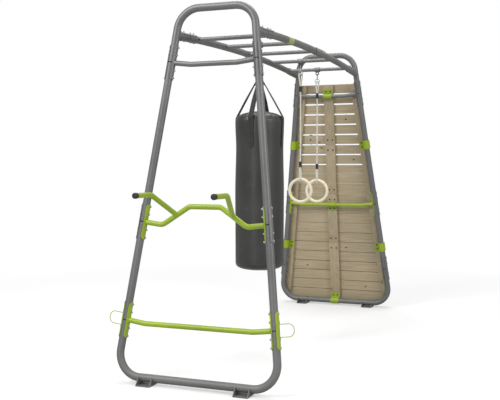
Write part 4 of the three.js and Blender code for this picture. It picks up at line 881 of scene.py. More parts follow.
dip_corners = [inside_joint(-1, MID_JOINT, TUBE_RADIUS), inside_joint(-1, MID_JOINT, BAR_BEND_REACH)]
dip_corners += [Vector((side * DIP_TOP_HALF_WIDTH, MID_JOINT + DIP_TOP_RISE, 0)) for side in (-1, 1)]
dip_corners += [inside_joint(1, MID_JOINT, BAR_BEND_REACH), inside_joint(1, MID_JOINT, TUBE_RADIUS)]
route = bent_route(dip_corners, DIP_BEND_RADIUS)
made = [tube(laid(route, FRONT), BAR_RADIUS, GREEN_PAINT, BAR_SIDES)]
for _, side in SIDES:
    route = bent_route(handle_route(side), ELBOW_RADIUS)
    made.append(tube(laid(route, FRONT), HANDLE_RADIUS, GREEN_PAINT, BAR_SIDES))
mesh = joined(*made, *both_joints(FRONT, MID_JOINT, None, GREEN_PAINT))
piece("dip_bar_and_handles", mesh, "frame", ["dip_bar"])
print("the dip bar reaches y =", round(min(v.co.y for v in mesh.vertices), 3), "m")

# %% [markdown]
# The low bar's joints also hold wire loops for stretch bands. The grips end in black plastic
# caps with a rounded rim and a shallow groove, turned about the grip's own line.

# %% Bend the low bar and its loops
LOOP_WIRE, LOOP_REACH, LOOP_HALF_HEIGHT, LOOP_BEND = 0.0025, 0.090, 0.038, 0.034
WIRE_SIDES = 12

made = [cross_bar(LOW_JOINT, FRONT, GREEN_PAINT)]
made += both_joints(FRONT, LOW_JOINT, GREEN_PAINT, GREEN_PAINT)
for _, side in SIDES:
    tip = FLAT_FACE + LOOP_REACH
    corners = [(FLAT_FACE, -LOOP_HALF_HEIGHT, 0), (tip, -LOOP_HALF_HEIGHT, 0), (tip, LOOP_HALF_HEIGHT, 0)]
    corners.append((FLAT_FACE, LOOP_HALF_HEIGHT, 0))
    route = laid(bent_route(corners, LOOP_BEND), leg_matrix(FRONT, side, LOW_JOINT))
    made.append(tube(route, LOOP_WIRE, GREEN_PAINT, WIRE_SIDES))
piece("low_bar_and_loops", joined(*made), "frame", ["front_low_bar"])
print("the loops stand out by", LOOP_REACH, "m")

# %% Turn the grips' caps
CAP_RADIUS, CAP_LENGTH, CAP_WALL, CAP_SIDES = 0.018, 0.024, 0.008, 32
SEAT_GAP = 0.0003
CAP_BORE, CAP_GROOVE = HANDLE_RADIUS + SEAT_GAP, CAP_RADIUS - 0.0008


def turned(profile, sides, matrix, material):
    """A solid of revolution about +Z, from radius and height pairs that begin and end on the axis."""
    grid = bmesh.new()
    rings = []
    for radius, height in profile:
        if radius == 0:
            rings.append([grid.verts.new((0, 0, height))] * sides)
        else:
            circle = [(radius * math.cos(a), radius * math.sin(a), height) for a in all_round(sides)]
            rings.append([grid.verts.new(point) for point in circle])
    lofted(grid, rings)
    return solid(grid, "turned", material, matrix)


CAP_PROFILE = [
    (0, 0), (CAP_RADIUS - 0.004, 0), (CAP_RADIUS - 0.0012, 0.0012), (CAP_RADIUS, 0.004),
    (CAP_RADIUS, 0.0095), (CAP_GROOVE, 0.0105), (CAP_GROOVE, 0.0125), (CAP_RADIUS, 0.0135),
    (CAP_RADIUS, CAP_LENGTH - 0.0015), (CAP_RADIUS - 0.0006, CAP_LENGTH), (CAP_BORE, CAP_LENGTH),
    (CAP_BORE, CAP_WALL + SEAT_GAP), (0, CAP_WALL + SEAT_GAP),
]
for name, side in SIDES:
    end = FRONT @ (handle_route(side)[-1] + OUTWARD * (CAP_WALL + SEAT_GAP))
    into = (FRONT.to_3x3() @ -OUTWARD).to_track_quat("Z", "Y").to_matrix().to_4x4()
    mesh = turned(CAP_PROFILE, CAP_SIDES, Matrix.Translation(end) @ into, BLACK_PLASTIC)
    piece(f"grip_cap_{name}", mesh, "frame", [f"dip_handle_cap_{name}"])
print("each cap is", CAP_LENGTH, "m long and covers", round(CAP_LENGTH - CAP_WALL, 3), "m of its grip")

# %% [markdown]
# ### The ladder's middle
# The halves of the ladder meet close to the middle rung. A pair of plates holds each rail
# there, one outside and one inside, and the rung sits between the inner ones. They are one
# part of the fixed model, so they are one piece here, made with the helpers from above.

# %% Plates and rung in the middle of the ladder
made = []
for _, side in SIDES:
    matrix = rail_matrix(side, SPLICE, 0 if side > 0 else math.pi)
    made += plates(matrix, RAIL_PLATE_LENGTH, GREY_PAINT, GREY_PAINT)
centre, across = rung_centre(MIDDLE_RUNG), Vector((RAIL_X - TUBE_RADIUS, 0, 0))
made.append(tube([centre - across, centre + across], RUNG_RADIUS, GREY_PAINT, RUNG_SIDES))
piece("ladder_middle", joined(*made), "frame", ["ladder_middle_rung"])
print("bolt heads", len(heads), "and nuts", len(nuts))

# %% [markdown]
# ## Bolts by the dozen
# The frame has scores of bolts, all alike. A small tree draws a bolt's head, a domed disc on
# a washer, from discs laid one above another, and puts it on every point of a cloud. Each
# point carries the way its bolt faces. The same tree with other sizes makes the nuts, which
# end in a short length of thread.

# %% A tree that puts a fitting on every point
LAYER_SIZES = ("Radius", "Top Radius", "Height", "Start")


def cloud(places):
    """Points that each carry a direction, as a mesh."""
    mesh = bpy.data.meshes.new("cloud")
    mesh.from_pydata([place for place, _ in places], [], [])
    facing = mesh.attributes.new("facing", "FLOAT_VECTOR", "POINT")
    for item, (_, direction) in zip(facing.data, places):
        item.vector = direction
    source = bpy.data.objects.new("cloud", mesh)
    scene.collection.objects.link(source)
    return source


def stack(graph, given, sides):
    """Discs with the given sizes, one above another, from a number of sides for each."""
    join = graph.tree.nodes.new("GeometryNodeJoinGeometry")
    for layer, count in enumerate(sides):
        radius, top_radius, height, start = (given[f"{size} {layer}"] for size in LAYER_SIZES)
        cone = {"Vertices": count, "Radius Bottom": radius, "Radius Top": top_radius, "Depth": height}
        part = graph.node("GeometryNodeMeshCone", {}, cone, "Mesh")
        lift = {"Geometry": part, "Translation": graph.combined(0.0, 0.0, start)}
        moved = graph.node("GeometryNodeTransform", {}, lift)
        graph.tree.links.new(moved.socket, join.inputs[0])
    return Value(graph, join.outputs[0])


def faced(graph):
    """The turn that points +Z the way that a point of the cloud says."""
    facing = {"Vector": graph.direction("facing")}
    return graph.node("FunctionNodeAlignRotationToVector", {"axis": "Z"}, facing)


def set_out(graph, given, shape, turn, **more):
    """Ends a tree with a shape on each of its points."""
    points = {"Points": given["Geometry"], "Instance": shape, "Rotation": turn, **more}
    return end_tree(graph, graph.node("GeometryNodeInstanceOnPoints", {}, points), given["Material"])


def fittings(name, places, material, layers):
    """A stack of discs on every place. A disc has its four sizes and a number of sides."""
    sizes = {}
    for order, layer in enumerate(layers):
        sizes.update({f"{size} {order}": value for size, value in zip(LAYER_SIZES, layer)})
    graph, given = new_tree(name, **dict.fromkeys(sizes, "Float"), Material="Material")
    shape = stack(graph, given, [layer[-1] for layer in layers])
    tree = set_out(graph, given, shape, faced(graph))
    return run_tree(tree, cloud(places), **sizes, Material=material)


print("there are places for", len(heads), "heads and", len(nuts), "nuts")

# %% Make the bolt heads and the nuts
WASHER = (0.0088, 0.0086, 0.0012, 0.0, 20)
HEAD = [
    WASHER, (0.0074, 0.0072, 0.0012, 0.0012, 20),
    (0.0072, 0.0058, 0.0015, 0.0024, 20), (0.0058, 0.0030, 0.0010, 0.0039, 20),
]
NUT = [
    WASHER, (0.0070, 0.0070, 0.0056, 0.0012, 6),
    (0.0070, 0.0060, 0.0006, 0.0068, 6), (0.0038, 0.0034, 0.0042, 0.0070, 12),
]
FITTING_SMOOTH = math.radians(30)

for name, places, layers in (("bolt_heads", heads, HEAD), ("bolt_nuts", nuts, NUT)):
    mesh = fittings(name, places, ZINC, layers)
    piece(name, mesh, "frame", smooth_below=FITTING_SMOOTH)
    print(name, "have", len(mesh.polygons), "faces")

# %% [markdown]
# ### Webs
# Inside each joint a small gap is left between the ends of the tubes, and a web of steel
# crosses it from one plate to the other. It is a plain block, so its outline is given a
# thickness by a helper, which cuts the wall's timber and its clips too.

# %% Cut the webs
def prism(outline, low, high, matrix, material, bevel=0.0, board=None):
    """A flat outline in the drawing's plane, with a thickness from low to high and soft edges."""
    grid = bmesh.new()
    lower = [grid.verts.new((x, y, low)) for x, y in outline]
    upper = [grid.verts.new((x, y, high)) for x, y in outline]
    grid.faces.new(lower[::-1])
    grid.faces.new(upper)
    lofted(grid, [lower, upper])
    bmesh.ops.recalc_face_normals(grid, faces=grid.faces)
    if bevel:
        bmesh.ops.bevel(grid, geom=grid.edges[:], offset=bevel, segments=2, affect="EDGES", profile=0.5)
    mesh = solid(grid, "prism", material, matrix)
    if board is not None:
        number = mesh.attributes.new("board", "FLOAT", "POINT")
        number.data.foreach_set("value", [board] * len(mesh.vertices))
    return mesh


def rectangle(half_width, low, high):
    return [(-half_width, low), (half_width, low), (half_width, high), (-half_width, high)]


WEB_HALF_WIDTH, WEB_HALF_HEIGHT, WEB_HALF_DEPTH = 0.0255, 0.0027, 0.010
web = rectangle(WEB_HALF_WIDTH, -WEB_HALF_HEIGHT, WEB_HALF_HEIGHT)
made = [prism(web, -WEB_HALF_DEPTH, WEB_HALF_DEPTH, matrix, BLACK_COAT) for matrix in webs]
piece("joint_webs", joined(*made), "frame")
print("webs", len(webs))

# %% [markdown]
# ## The plank wall
# Twenty-two planks lie across the far frame, with a gap above each. They are one board
# repeated, so a tree lays a row of boards one pitch apart and numbers them. After that each
# board's ends are pulled in to the slope of the legs, and to the round corner at the bottom.

# %% Lay the boards with a tree
PANEL_COUNTS = (6, 5, 5, 6)
PITCH, PLANK_GAP, PLANK_THICKNESS = 0.0955, 0.0135, 0.022
CLOSE_GAP, CLOSE_COUNT = 0.0045, 13
WALL_BOTTOM, EDGE_OVERHANG = 0.005, 0.007
BATTEN_THICKNESS = 0.028
BATTEN_INNER = PLATE_OUTER + SEAT_GAP
BATTEN_OUTER = BATTEN_INNER + BATTEN_THICKNESS
JOIN_SINK = 0.0002
PLANK_OUTER = BATTEN_OUTER + PLANK_THICKNESS - JOIN_SINK
BOARD_GRID = {"Vertices X": 12, "Vertices Y": 7, "Vertices Z": 2}
BOARD_BOW, BOARD_EDGE = 0.0006, 0.0022


def gap_above(row):
    return CLOSE_GAP if row < CLOSE_COUNT else PLANK_GAP


def wall_half_width(height):
    setback = CORNER_RADIUS * math.tan((math.pi / 2 + LEG_ANGLE) / 2)
    if height >= setback * math.cos(LEG_ANGLE):
        return leg_x(height) + EDGE_OVERHANG / math.cos(LEG_ANGLE)
    reach, below = CORNER_RADIUS + EDGE_OVERHANG, CORNER_RADIUS - height
    return BASE_HALF_WIDTH - setback + math.sqrt(reach**2 - below**2)


def board_tree():
    sizes = {"Count": "Int", "First": "Int", "Pitch": "Float", "Start": "Float", "Size": "Vector"}
    graph, given = new_tree("boards", **sizes, Material="Material")
    line = {"Count": given["Count"], "Offset": graph.combined(0.0, given["Pitch"], 0.0)}
    points = graph.node("GeometryNodeMeshLine", {}, line)
    board = graph.node("GeometryNodeMeshCube", {}, {"Size": given["Size"], **BOARD_GRID}, "Mesh")
    laid_out = graph.node("GeometryNodeInstanceOnPoints", {}, {"Points": points, "Instance": board})
    number = graph.node("GeometryNodeInputIndex")
    numbered = graph.stored(laid_out, "board", number + given["First"], "INSTANCE")
    lift = graph.combined(0.0, given["Start"], 0.0)
    placed = graph.node("GeometryNodeTransform", {}, {"Geometry": numbered, "Translation": lift})
    return end_tree(graph, placed, given["Material"])


BOARD_TREE = board_tree()
PLANK_COUNT = sum(PANEL_COUNTS)
print("the wall is", PLANK_COUNT, "boards high:", round(PLANK_COUNT * PITCH, 3), "m up the slope")

# %% Pull the boards to shape and lay each panel on the rear frame
def board_panel(first, count):
    source = cloud([((0, 0, 0), (0, 0, 1))])
    height = PITCH - gap_above(first)
    start = WALL_BOTTOM + first * PITCH + height / 2
    sizes = {"Pitch": PITCH, "Start": start, "Size": (2.0, height, PLANK_THICKNESS - JOIN_SINK)}
    mesh = run_tree(BOARD_TREE, source, Count=count, First=first, Material=PLANK_WOOD, **sizes)
    for vertex in mesh.vertices:
        x, y, z = vertex.co
        row = round((y - WALL_BOTTOM) / PITCH - 0.43)
        bow = BOARD_BOW * noise.noise(Vector((x * 3, row * 7.7, 0.3)))
        vertex.co = (x * wall_half_width(y), y, z + PLANK_OUTER - PLANK_THICKNESS / 2 + bow)
    mesh.transform(REAR)
    return mesh


def soften(made, width):
    """A narrow bevel on the sharp edges, which stays on the piece."""
    soft = made.modifiers.new("soft edges", "BEVEL")
    soft.width = width
    soft.segments = 2
    soft.limit_method = "ANGLE"


first = 0
for panel, count in enumerate(PANEL_COUNTS, 1):
    close = max(0, min(count, CLOSE_COUNT - first))
    runs = ((first, close), (first + close, count - close))
    made = [board_panel(row, number) for row, number in runs if number]
    boards = piece(f"wall_boards_{panel}", joined(*made), "frame", [f"wall_panel_{panel}"])
    soften(boards, BOARD_EDGE)
    first += count
print("boards laid", first)

# %% [markdown]
# Behind the planks run two side battens and a wider beam in the middle, cut at each panel's
# edge. They are plain sawn timber, so a straight prism with softened edges is right.

# %% Battens and beams
INSET_IN, INSET_OUT = 0.075 / math.cos(LEG_ANGLE), 0.007 / math.cos(LEG_ANGLE)
BEAM_HALF, TIMBER_EDGE, PANEL_GAP = 0.046, 0.0015, 0.001
BEAM_NUMBER, BATTEN_NUMBER = 40, 50
first = 0
panel_spans = []
for panel, count in enumerate(PANEL_COUNTS, 1):
    last = first + count - 1
    low = WALL_BOTTOM + first * PITCH - (0 if panel == 1 else (gap_above(first - 1) - PANEL_GAP) / 2)
    trim = 0 if panel == len(PANEL_COUNTS) else (gap_above(last) - PANEL_GAP) / 2
    high = WALL_BOTTOM + (last + 1) * PITCH - gap_above(last) + trim
    panel_spans.append((first, last, low, high))
    timber = [BATTEN_INNER, BATTEN_OUTER, REAR, BATTEN_WOOD, TIMBER_EDGE]
    made = [prism(rectangle(BEAM_HALF, low, high), *timber, BEAM_NUMBER + panel)]
    foot = max(low, CORNER_RADIUS / 2)
    for _, side in SIDES:
        outline = [(leg_x(foot) - INSET_IN, foot), (leg_x(foot) - INSET_OUT, foot)]
        outline += [(leg_x(high) - INSET_OUT, high), (leg_x(high) - INSET_IN, high)]
        outline = [(side * x, y) for x, y in outline]
        made.append(prism(outline, *timber, BATTEN_NUMBER + panel * 3 + side))
    piece(f"wall_battens_{panel}", joined(*made), "frame")
    first = last + 1
print("panels span", [(round(low, 3), round(high, 3)) for _, _, low, high in panel_spans])

# %% [markdown]
# Green clips hook the wall to the tubes. A clip is a strip of steel bent half round a tube,
# with a flange that is bolted under a batten. The strip's outline is the line of its middle,
# offset to both sides.

# %% Draw a clip
CLIP_THICKNESS, CLIP_LENGTH, CLIP_FLANGE = 0.003, 0.080, 0.044
CLIP_BOLT_REACH, CLIP_BOLT_SPACING = 0.024, 0.020
CLIP_FACE = BATTEN_INNER - SEAT_GAP
CLIP_ARC_STEPS = 20
wood_bolts = []


def directions(line):
    """For each point of a line, the ways into it and out of it."""
    ways = [(b - a).normalized() for a, b in zip(line, line[1:])]
    return list(zip(ways[:1] + ways, ways + ways[-1:]))


def strip_outline(line, thickness):
    line = [Vector(point) for point in line]
    near, far = [], []
    for point, ways in zip(line, directions(line)):
        sides = [Vector((-way.y, way.x)) for way in ways]
        mitre = (sides[0] + sides[1]) / (1 + sides[0].dot(sides[1]))
        near.append(point + mitre * thickness / 2)
        far.append(point - mitre * thickness / 2)
    return [(p.x, p.y) for p in near + far[::-1]]


def clip(tube_radius, place):
    reach = tube_radius + SEAT_GAP + CLIP_THICKNESS / 2
    top = CLIP_FACE - CLIP_THICKNESS / 2
    line = [(-reach, CLIP_FACE - CLIP_THICKNESS)]
    for i in range(CLIP_ARC_STEPS + 1):
        angle = -math.pi * (1 - i / CLIP_ARC_STEPS)
        line.append((reach * math.cos(angle), reach * math.sin(angle)))
    line += [(reach, top), (reach + CLIP_FLANGE, top)]
    upright = place @ Matrix.Rotation(math.pi / 2, 4, "X")
    for offset in (-CLIP_BOLT_SPACING, CLIP_BOLT_SPACING):
        spot = Vector((reach + CLIP_BOLT_REACH, offset, CLIP_FACE - CLIP_THICKNESS))
        wood_bolts.append((place @ spot, place.to_3x3() @ Vector((0, 0, -1))))
    outline = strip_outline(line, CLIP_THICKNESS)
    return prism(outline, -CLIP_LENGTH / 2, CLIP_LENGTH / 2, upright, GREEN_PAINT)


print("a clip is", CLIP_LENGTH, "m long, and its flange", CLIP_FLANGE, "m wide")

# %% Hook the clips on
SIDE_CLIP_HEIGHTS = (0.557, 1.532)
clip_places = []
middle_clips = ((0, TUBE_RADIUS, 1), (MID_JOINT, BAR_RADIUS, -1), (HIGH_JOINT, BAR_RADIUS, 1))
for height, radius, turn in middle_clips:
    bar = height - (BAR_BEND_REACH * math.sin(LEG_ANGLE) if height else 0)
    quarter_turn = Matrix.Rotation(turn * math.pi / 2, 4, "Z")
    clip_places.append((radius, Matrix.Translation((0, bar, 0)) @ quarter_turn))
for height in SIDE_CLIP_HEIGHTS:
    for _, side in SIDES:
        face_in = Matrix.Scale(-1, 4, (1, 0, 0)) if side > 0 else Matrix()
        lean = Matrix.Translation(on_leg(side, height)) @ Matrix.Rotation(side * LEG_ANGLE, 4, "Z")
        clip_places.append((TUBE_RADIUS, lean @ face_in))
made = [clip(radius, REAR @ place) for radius, place in clip_places]
for mesh, (_, place) in zip(made, clip_places):
    if place.determinant() < 0:
        mesh.flip_normals()
piece("wall_clips", joined(*made), "frame")
print("clips", len(made), "and wood bolts", len(wood_bolts))

# %% [markdown]
# ## Climbing holds
# The holds sit on the outer face, which the photograph doesn't show, so their shape is a plain
# one: a rounded lump with a few soft lobes. The tree starts from a ball, gives it the lobes,
# flattens its back and sets it on each point. Their bolts' ends show between the battens.

# %% Grow the holds
HOLD_KINDS = ((0.050, 0.042, 2, HOLD_GREEN), (0.042, 0.055, 3, HOLD_GREY), (0.046, 0.036, 4, HOLD_GREEN))
HOLD_ROWS = (1, 3, 5, 11, 14, 16, 18)
HOLD_ACROSS = (-0.56, 0.56, -0.24, 0.88, -0.58, 0.57, -0.47)
FIXING_RISE = (PITCH - PLANK_GAP) / 2


def hold_tree():
    sizes = {"Radius": "Float", "Rise": "Float", "Lobes": "Float", "Seed": "Float"}
    graph, given = new_tree("holds", **sizes, Material="Material")
    ball = graph.node("GeometryNodeMeshIcoSphere", {}, {"Radius": 1.0, "Subdivisions": 5}, "Mesh")
    place = graph.node("GeometryNodeInputPosition")
    x, y, z = graph.split(place)
    angle = y.math("ARCTAN2", x)
    lobes = 1 + (angle * given["Lobes"]).math("COSINE") * 0.10
    bumps = {"Vector": place, "W": given["Seed"], "Scale": 1.6, "Detail": 1.0}
    lump = graph.node("ShaderNodeTexNoise", {"noise_dimensions": "4D"}, bumps)
    swell = lobes * (0.86 + lump * 0.16) * given["Radius"]
    dish = 1 - (x * x + y * y) * 0.12
    height = z.math("MAXIMUM", 0.0) ** 0.72 * given["Rise"] * dish
    shaped = {"Geometry": ball, "Position": graph.combined(x * swell, y * swell, height)}
    lumpy = graph.node("GeometryNodeSetPosition", {}, shaped)
    return set_out(graph, given, lumpy, faced(graph))


HOLD_TREE = hold_tree()
into_wall = REAR.to_3x3() @ Vector((0, 0, -1))
made = []
for kind, (radius, rise, lobes, paint) in enumerate(HOLD_KINDS):
    spots = []
    for order, (row, across) in enumerate(zip(HOLD_ROWS, HOLD_ACROSS)):
        if order % len(HOLD_KINDS) == kind:
            height = WALL_BOTTOM + row * PITCH + FIXING_RISE
            spot = Vector((across * leg_x(height), height, PLANK_OUTER))
            spots.append((REAR @ spot, -into_wall))
            wood_bolts.append((REAR @ Vector((spot.x, height, BATTEN_OUTER)), into_wall))
    sizes = {"Radius": radius, "Rise": rise, "Lobes": float(lobes), "Seed": float(kind)}
    made.append(run_tree(HOLD_TREE, cloud(spots), **sizes, Material=paint))
piece("climbing_holds", joined(*made), "frame")
print("holds", len(HOLD_ROWS))

# %% [markdown]
# ### Bolts in the wood
# The wall's bolts are black with low heads: two in each clip, one behind each hold, and a
# pair in the middle beam above and below each joint of two panels. They repeat too, so the
# tree for fittings makes them from one cloud.

# %% Bolt the wall
BEAM_BOLT_SPACING = 0.024
for first, last, _, _ in panel_spans:
    rows = [row for row in (first, last) if row not in (0, PLANK_COUNT - 1)]
    for row in rows:
        for x in (-BEAM_BOLT_SPACING, BEAM_BOLT_SPACING):
            spot = Vector((x, WALL_BOTTOM + row * PITCH + FIXING_RISE, BATTEN_INNER))
            wood_bolts.append((REAR @ spot, into_wall))
WOOD_BOLT = [
    (0.0078, 0.0076, 0.0008, 0.0, 18), (0.0058, 0.0054, 0.0016, 0.0008, 18),
    (0.0054, 0.0034, 0.0008, 0.0024, 18),
]
mesh = fittings("wood_bolts", wood_bolts, BLACK_COAT, WOOD_BOLT)
piece("wood_bolts", mesh, "frame", smooth_below=FITTING_SMOOTH)
print("wood bolts", len(wood_bolts))

# %% [markdown]
# ## The gym rings and their ropes
# Each gym ring hangs on one rope. The rope starts in the upper adjuster, loops over the steel
# ring, runs down through both adjusters, goes round the gym ring and ends in the lower one. Its
# line repeats the solid's route, with a gentle bend wherever the rope changes direction.

# %% The rope's route
ROPE_RADIUS = 0.0065
STRAND = 0.0068
STEEL_RING_TOP = 0.1193
UPPER_WRAP, LOWER_WRAP = 0.01045, 0.0198
LOOP_SLACK = 0.0045
UPPER_ADJUSTER, LOWER_ADJUSTER, ADJUSTER_HEIGHT = 0.210, 0.841, 0.047
SPLAY, TAIL = 0.035, 0.002
RING_DROP, RING_OUTER, RING_SECTION = 0.976, 0.108, 0.013
SOFT_BEND, FULLNESS = 0.045, 0.95
ROPE_BEND_STEP = math.radians(8)


def rope_route():
    """Points below the rung's centre, from the upper end to the lower one."""
    upper_end = -UPPER_ADJUSTER - ADJUSTER_HEIGHT
    lower_end = -LOWER_ADJUSTER - ADJUSTER_HEIGHT
    top = UPPER_WRAP + LOOP_SLACK - STEEL_RING_TOP
    start = -STEEL_RING_TOP - UPPER_WRAP
    bottom = -RING_DROP - RING_SECTION - LOWER_WRAP
    places = [
        (0, STRAND, upper_end - TAIL), (0, STRAND, -UPPER_ADJUSTER), (UPPER_WRAP, UPPER_WRAP, start),
        (UPPER_WRAP, UPPER_WRAP, top), (-UPPER_WRAP, -UPPER_WRAP, top), (-UPPER_WRAP, -UPPER_WRAP, start),
        (0, -STRAND, -UPPER_ADJUSTER), (0, -STRAND, upper_end), (0, 0, upper_end - SPLAY),
        (0, 0, -LOWER_ADJUSTER + SPLAY), (0, -STRAND, -LOWER_ADJUSTER), (0, -STRAND, lower_end),
        (0, -LOWER_WRAP, lower_end - SPLAY), (0, -LOWER_WRAP, bottom), (0, LOWER_WRAP, bottom),
        (0, LOWER_WRAP, lower_end - SPLAY), (0, STRAND, lower_end), (0, STRAND, -LOWER_ADJUSTER + TAIL),
    ]
    over, under = [UPPER_WRAP * math.sqrt(2) * FULLNESS], [LOWER_WRAP * FULLNESS]
    soft = [SOFT_BEND]
    radii = soft * 2 + over * 2 + soft * 8 + under * 2 + soft * 2
    return bent_route(places, radii, ROPE_BEND_STEP)


print("each rope is", round(route_length(rope_route()), 4), "m long")

# %% [markdown]
# A twisted rope has three strands, and they are real shape here: the swept outline has three
# lobes, and the curve's tilt turns it as it goes along, once every few centimetres.

# %% A tree that twists a lobed outline along a curve
def rope_tree():
    graph, given = new_tree("rope", Radius="Float", Pitch="Float", Step="Float", Material="Material")
    route = {"Curve": given["Geometry"], "Length": given["Step"]}
    fine = graph.node("GeometryNodeResampleCurve", {"mode": "LENGTH"}, route)
    length = graph.node("GeometryNodeSplineParameter", {}, {}, "Length")
    twist = length / given["Pitch"] * WHOLE_TURN
    turned_curve = graph.node("GeometryNodeSetCurveTilt", {}, {"Curve": fine, "Tilt": twist})
    circle = graph.node("GeometryNodeCurvePrimitiveCircle", {}, {"Resolution": 24, "Radius": 1.0})
    share = graph.node("GeometryNodeSplineParameter", {}, {}, "Factor")
    lobe = (share * 1.5 * WHOLE_TURN).math("COSINE").math("ABSOLUTE")
    place = graph.node("GeometryNodeInputPosition")
    size = (0.84 + lobe * 0.16) * given["Radius"]
    x, y, _ = graph.split(place)
    lobed = {"Geometry": circle, "Position": graph.combined(x * size, y * size, 0.0)}
    outline = graph.stored(graph.node("GeometryNodeSetPosition", {}, lobed), "crown", lobe)
    inputs = {"Curve": turned_curve, "Profile Curve": outline, "Fill Caps": True}
    swept = graph.node("GeometryNodeCurveToMesh", {}, inputs)
    return end_tree(graph, swept, given["Material"])


ROPE_TREE = rope_tree()
print("tree", ROPE_TREE.name, "has", len(ROPE_TREE.nodes), "nodes")

# %% [markdown]
# The adjusters are moulded sleeves with grooves for the fingers, and one slot for both runs
# of the rope. A sleeve is closed on itself, so it is built from loops of points, up the
# outside and back down through the slot, and the last loop is joined to the first.

# %% Mould an adjuster
def rounded_loop(half_x, half_y, corner, height, count=6):
    """A rectangle with round corners, as points at one height."""
    points = []
    for sx, sy, start in ((1, 1, 0), (-1, 1, 1), (-1, -1, 2), (1, -1, 3)):
        for i in range(count + 1):
            angle = math.pi / 2 * (start + i / count)
            x = sx * (half_x - corner) + corner * math.cos(angle)
            points.append((x, sy * (half_y - corner) + corner * math.sin(angle), height))
    return points


def sleeve(loops, matrix, material):
    """A ring-shaped solid through a closed series of loops of points."""
    grid = bmesh.new()
    lofted(grid, [[grid.verts.new(point) for point in loop] for loop in loops], closed=True)
    return solid(grid, "sleeve", material, matrix)


def adjuster_loops():
    """The outside with its grooves from bottom to top, then the slot back down."""
    half_x, half_y, slot_x, slot_y = 0.0088, 0.0156, 0.0068, 0.0136
    corner, slot_corner, lip = 0.003, 0.002, 0.0008
    groove_start, groove_pitch, groove_count, depth = 0.0105, 0.0056, 5, 0.0009
    outside = [(lip, 0.0), (0.0, lip), (0.0, 0.009)]
    for groove in range(groove_count):
        foot = groove_start + groove * groove_pitch
        outside += [(depth, foot), (depth, foot + 0.0016), (0.0, foot + 0.0026), (0.0, foot + 0.0046)]
    outside += [(0.0, ADJUSTER_HEIGHT - lip), (lip, ADJUSTER_HEIGHT)]
    loops = [rounded_loop(half_x - inset, half_y - inset, corner, height) for inset, height in outside]
    return loops + [rounded_loop(slot_x, slot_y, slot_corner, height) for height in (ADJUSTER_HEIGHT, 0.0)]


print("an adjuster has", len(adjuster_loops()), "loops and is", ADJUSTER_HEIGHT, "m high")

# %% Hang the ropes
RING_RUNGS = (3, 4)
ROPE_PITCH, ROPE_STEP = 0.034, 0.004
ROPE_SMOOTH = math.radians(60)

ropes = []
for order, index in enumerate(RING_RUNGS, 1):
    name = f"gym_ring_{order}"
    hang = Matrix.Translation(rung_centre(index))
    body = f"{name}_rope"
    for place, drop in (("upper", UPPER_ADJUSTER), ("lower", LOWER_ADJUSTER)):
        below = hang @ Matrix.Translation((0, 0, -drop - ADJUSTER_HEIGHT))
        mesh = sleeve(adjuster_loops(), below, BLACK_PLASTIC)
        node = f"{name}_{place}_adjuster"
        piece(f"{name}_{place}_slider", mesh, body, [node])
    route = laid(rope_route(), hang)
    sizes = {"Radius": ROPE_RADIUS, "Pitch": ROPE_PITCH, "Step": ROPE_STEP}
    mesh = run_tree(ROPE_TREE, curve_object(route), **sizes, Material=ROPE)
    made = piece(f"{name}_twisted_rope", mesh, body, [f"{name}_rope"], ROPE_SMOOTH)
    route_length(route)
    ropes.append(made)
print("ropes", [(rope.name, len(rope.data.polygons)) for rope in ropes])

# %% [markdown]
# The gym rings are smooth plastic hoops. A ring is a tube along a circle. Links and steel rings
# are wire bent the same way, so one helper serves all of them.

# %% Routes of rings and links, and a collar
COLLAR_OUTER, COLLAR_INNER, COLLAR_HALF, COLLAR_CHAMFER = 0.0213, 0.0153, 0.024, 0.0012
EYE_RADIUS, EYE_WIRE, LINK_CLEAR, LINK_WIRE, LINK_LENGTH = 0.013, 0.004, 0.00095, 0.003, 0.035
COLLAR_STEPS, EYE_SIDES = 32, 14
EYE_DROP = COLLAR_OUTER + EYE_RADIUS
LINK_TOP = EYE_DROP + EYE_RADIUS
LINK_BOTTOM = LINK_TOP + LINK_LENGTH


def circle_route(radius, drop, count):
    return [(radius * math.cos(a), 0, radius * math.sin(a) - drop) for a in all_round(count)]


def link_route(lower_wire, steps=12):
    points = []
    for wire, drop, start in ((EYE_WIRE, LINK_TOP, 0), (lower_wire, LINK_BOTTOM, math.pi)):
        radius = wire + LINK_CLEAR + LINK_WIRE
        for i in range(steps + 1):
            angle = start + math.pi * i / steps
            points.append((0, radius * math.cos(angle), radius * math.sin(angle) - drop))
    return points


def ring_profile(inner, outer, half, chamfer):
    corners = [(inner, -half), (outer - chamfer, -half), (outer, chamfer - half), (outer, half - chamfer)]
    return [*corners, (outer - chamfer, half), (inner, half)]


def collar(centre):
    """A collar round a rung with its eye below it."""
    loops = []
    for radius, place in ring_profile(COLLAR_INNER, COLLAR_OUTER, COLLAR_HALF, COLLAR_CHAMFER):
        angles = all_round(COLLAR_STEPS)
        loops.append([(place, radius * math.cos(a), radius * math.sin(a)) for a in angles])
    hang = Matrix.Translation(centre)
    route = laid(circle_route(EYE_RADIUS, EYE_DROP, COLLAR_STEPS), hang)
    eye = tube(route, EYE_WIRE, BLACK_COAT, EYE_SIDES, True)
    return joined(sleeve(loops, hang, GREY_PAINT), eye)


print("a link hangs from", round(LINK_TOP, 4), "to", round(LINK_BOTTOM, 4), "m below its rung")

# %% Hang the rings
STEEL_RING_DROP, STEEL_RING_RADIUS, STEEL_WIRE = 0.1008, 0.0185, 0.003
STEEL_RING_STEPS, HOOP_STEPS = 48, 96

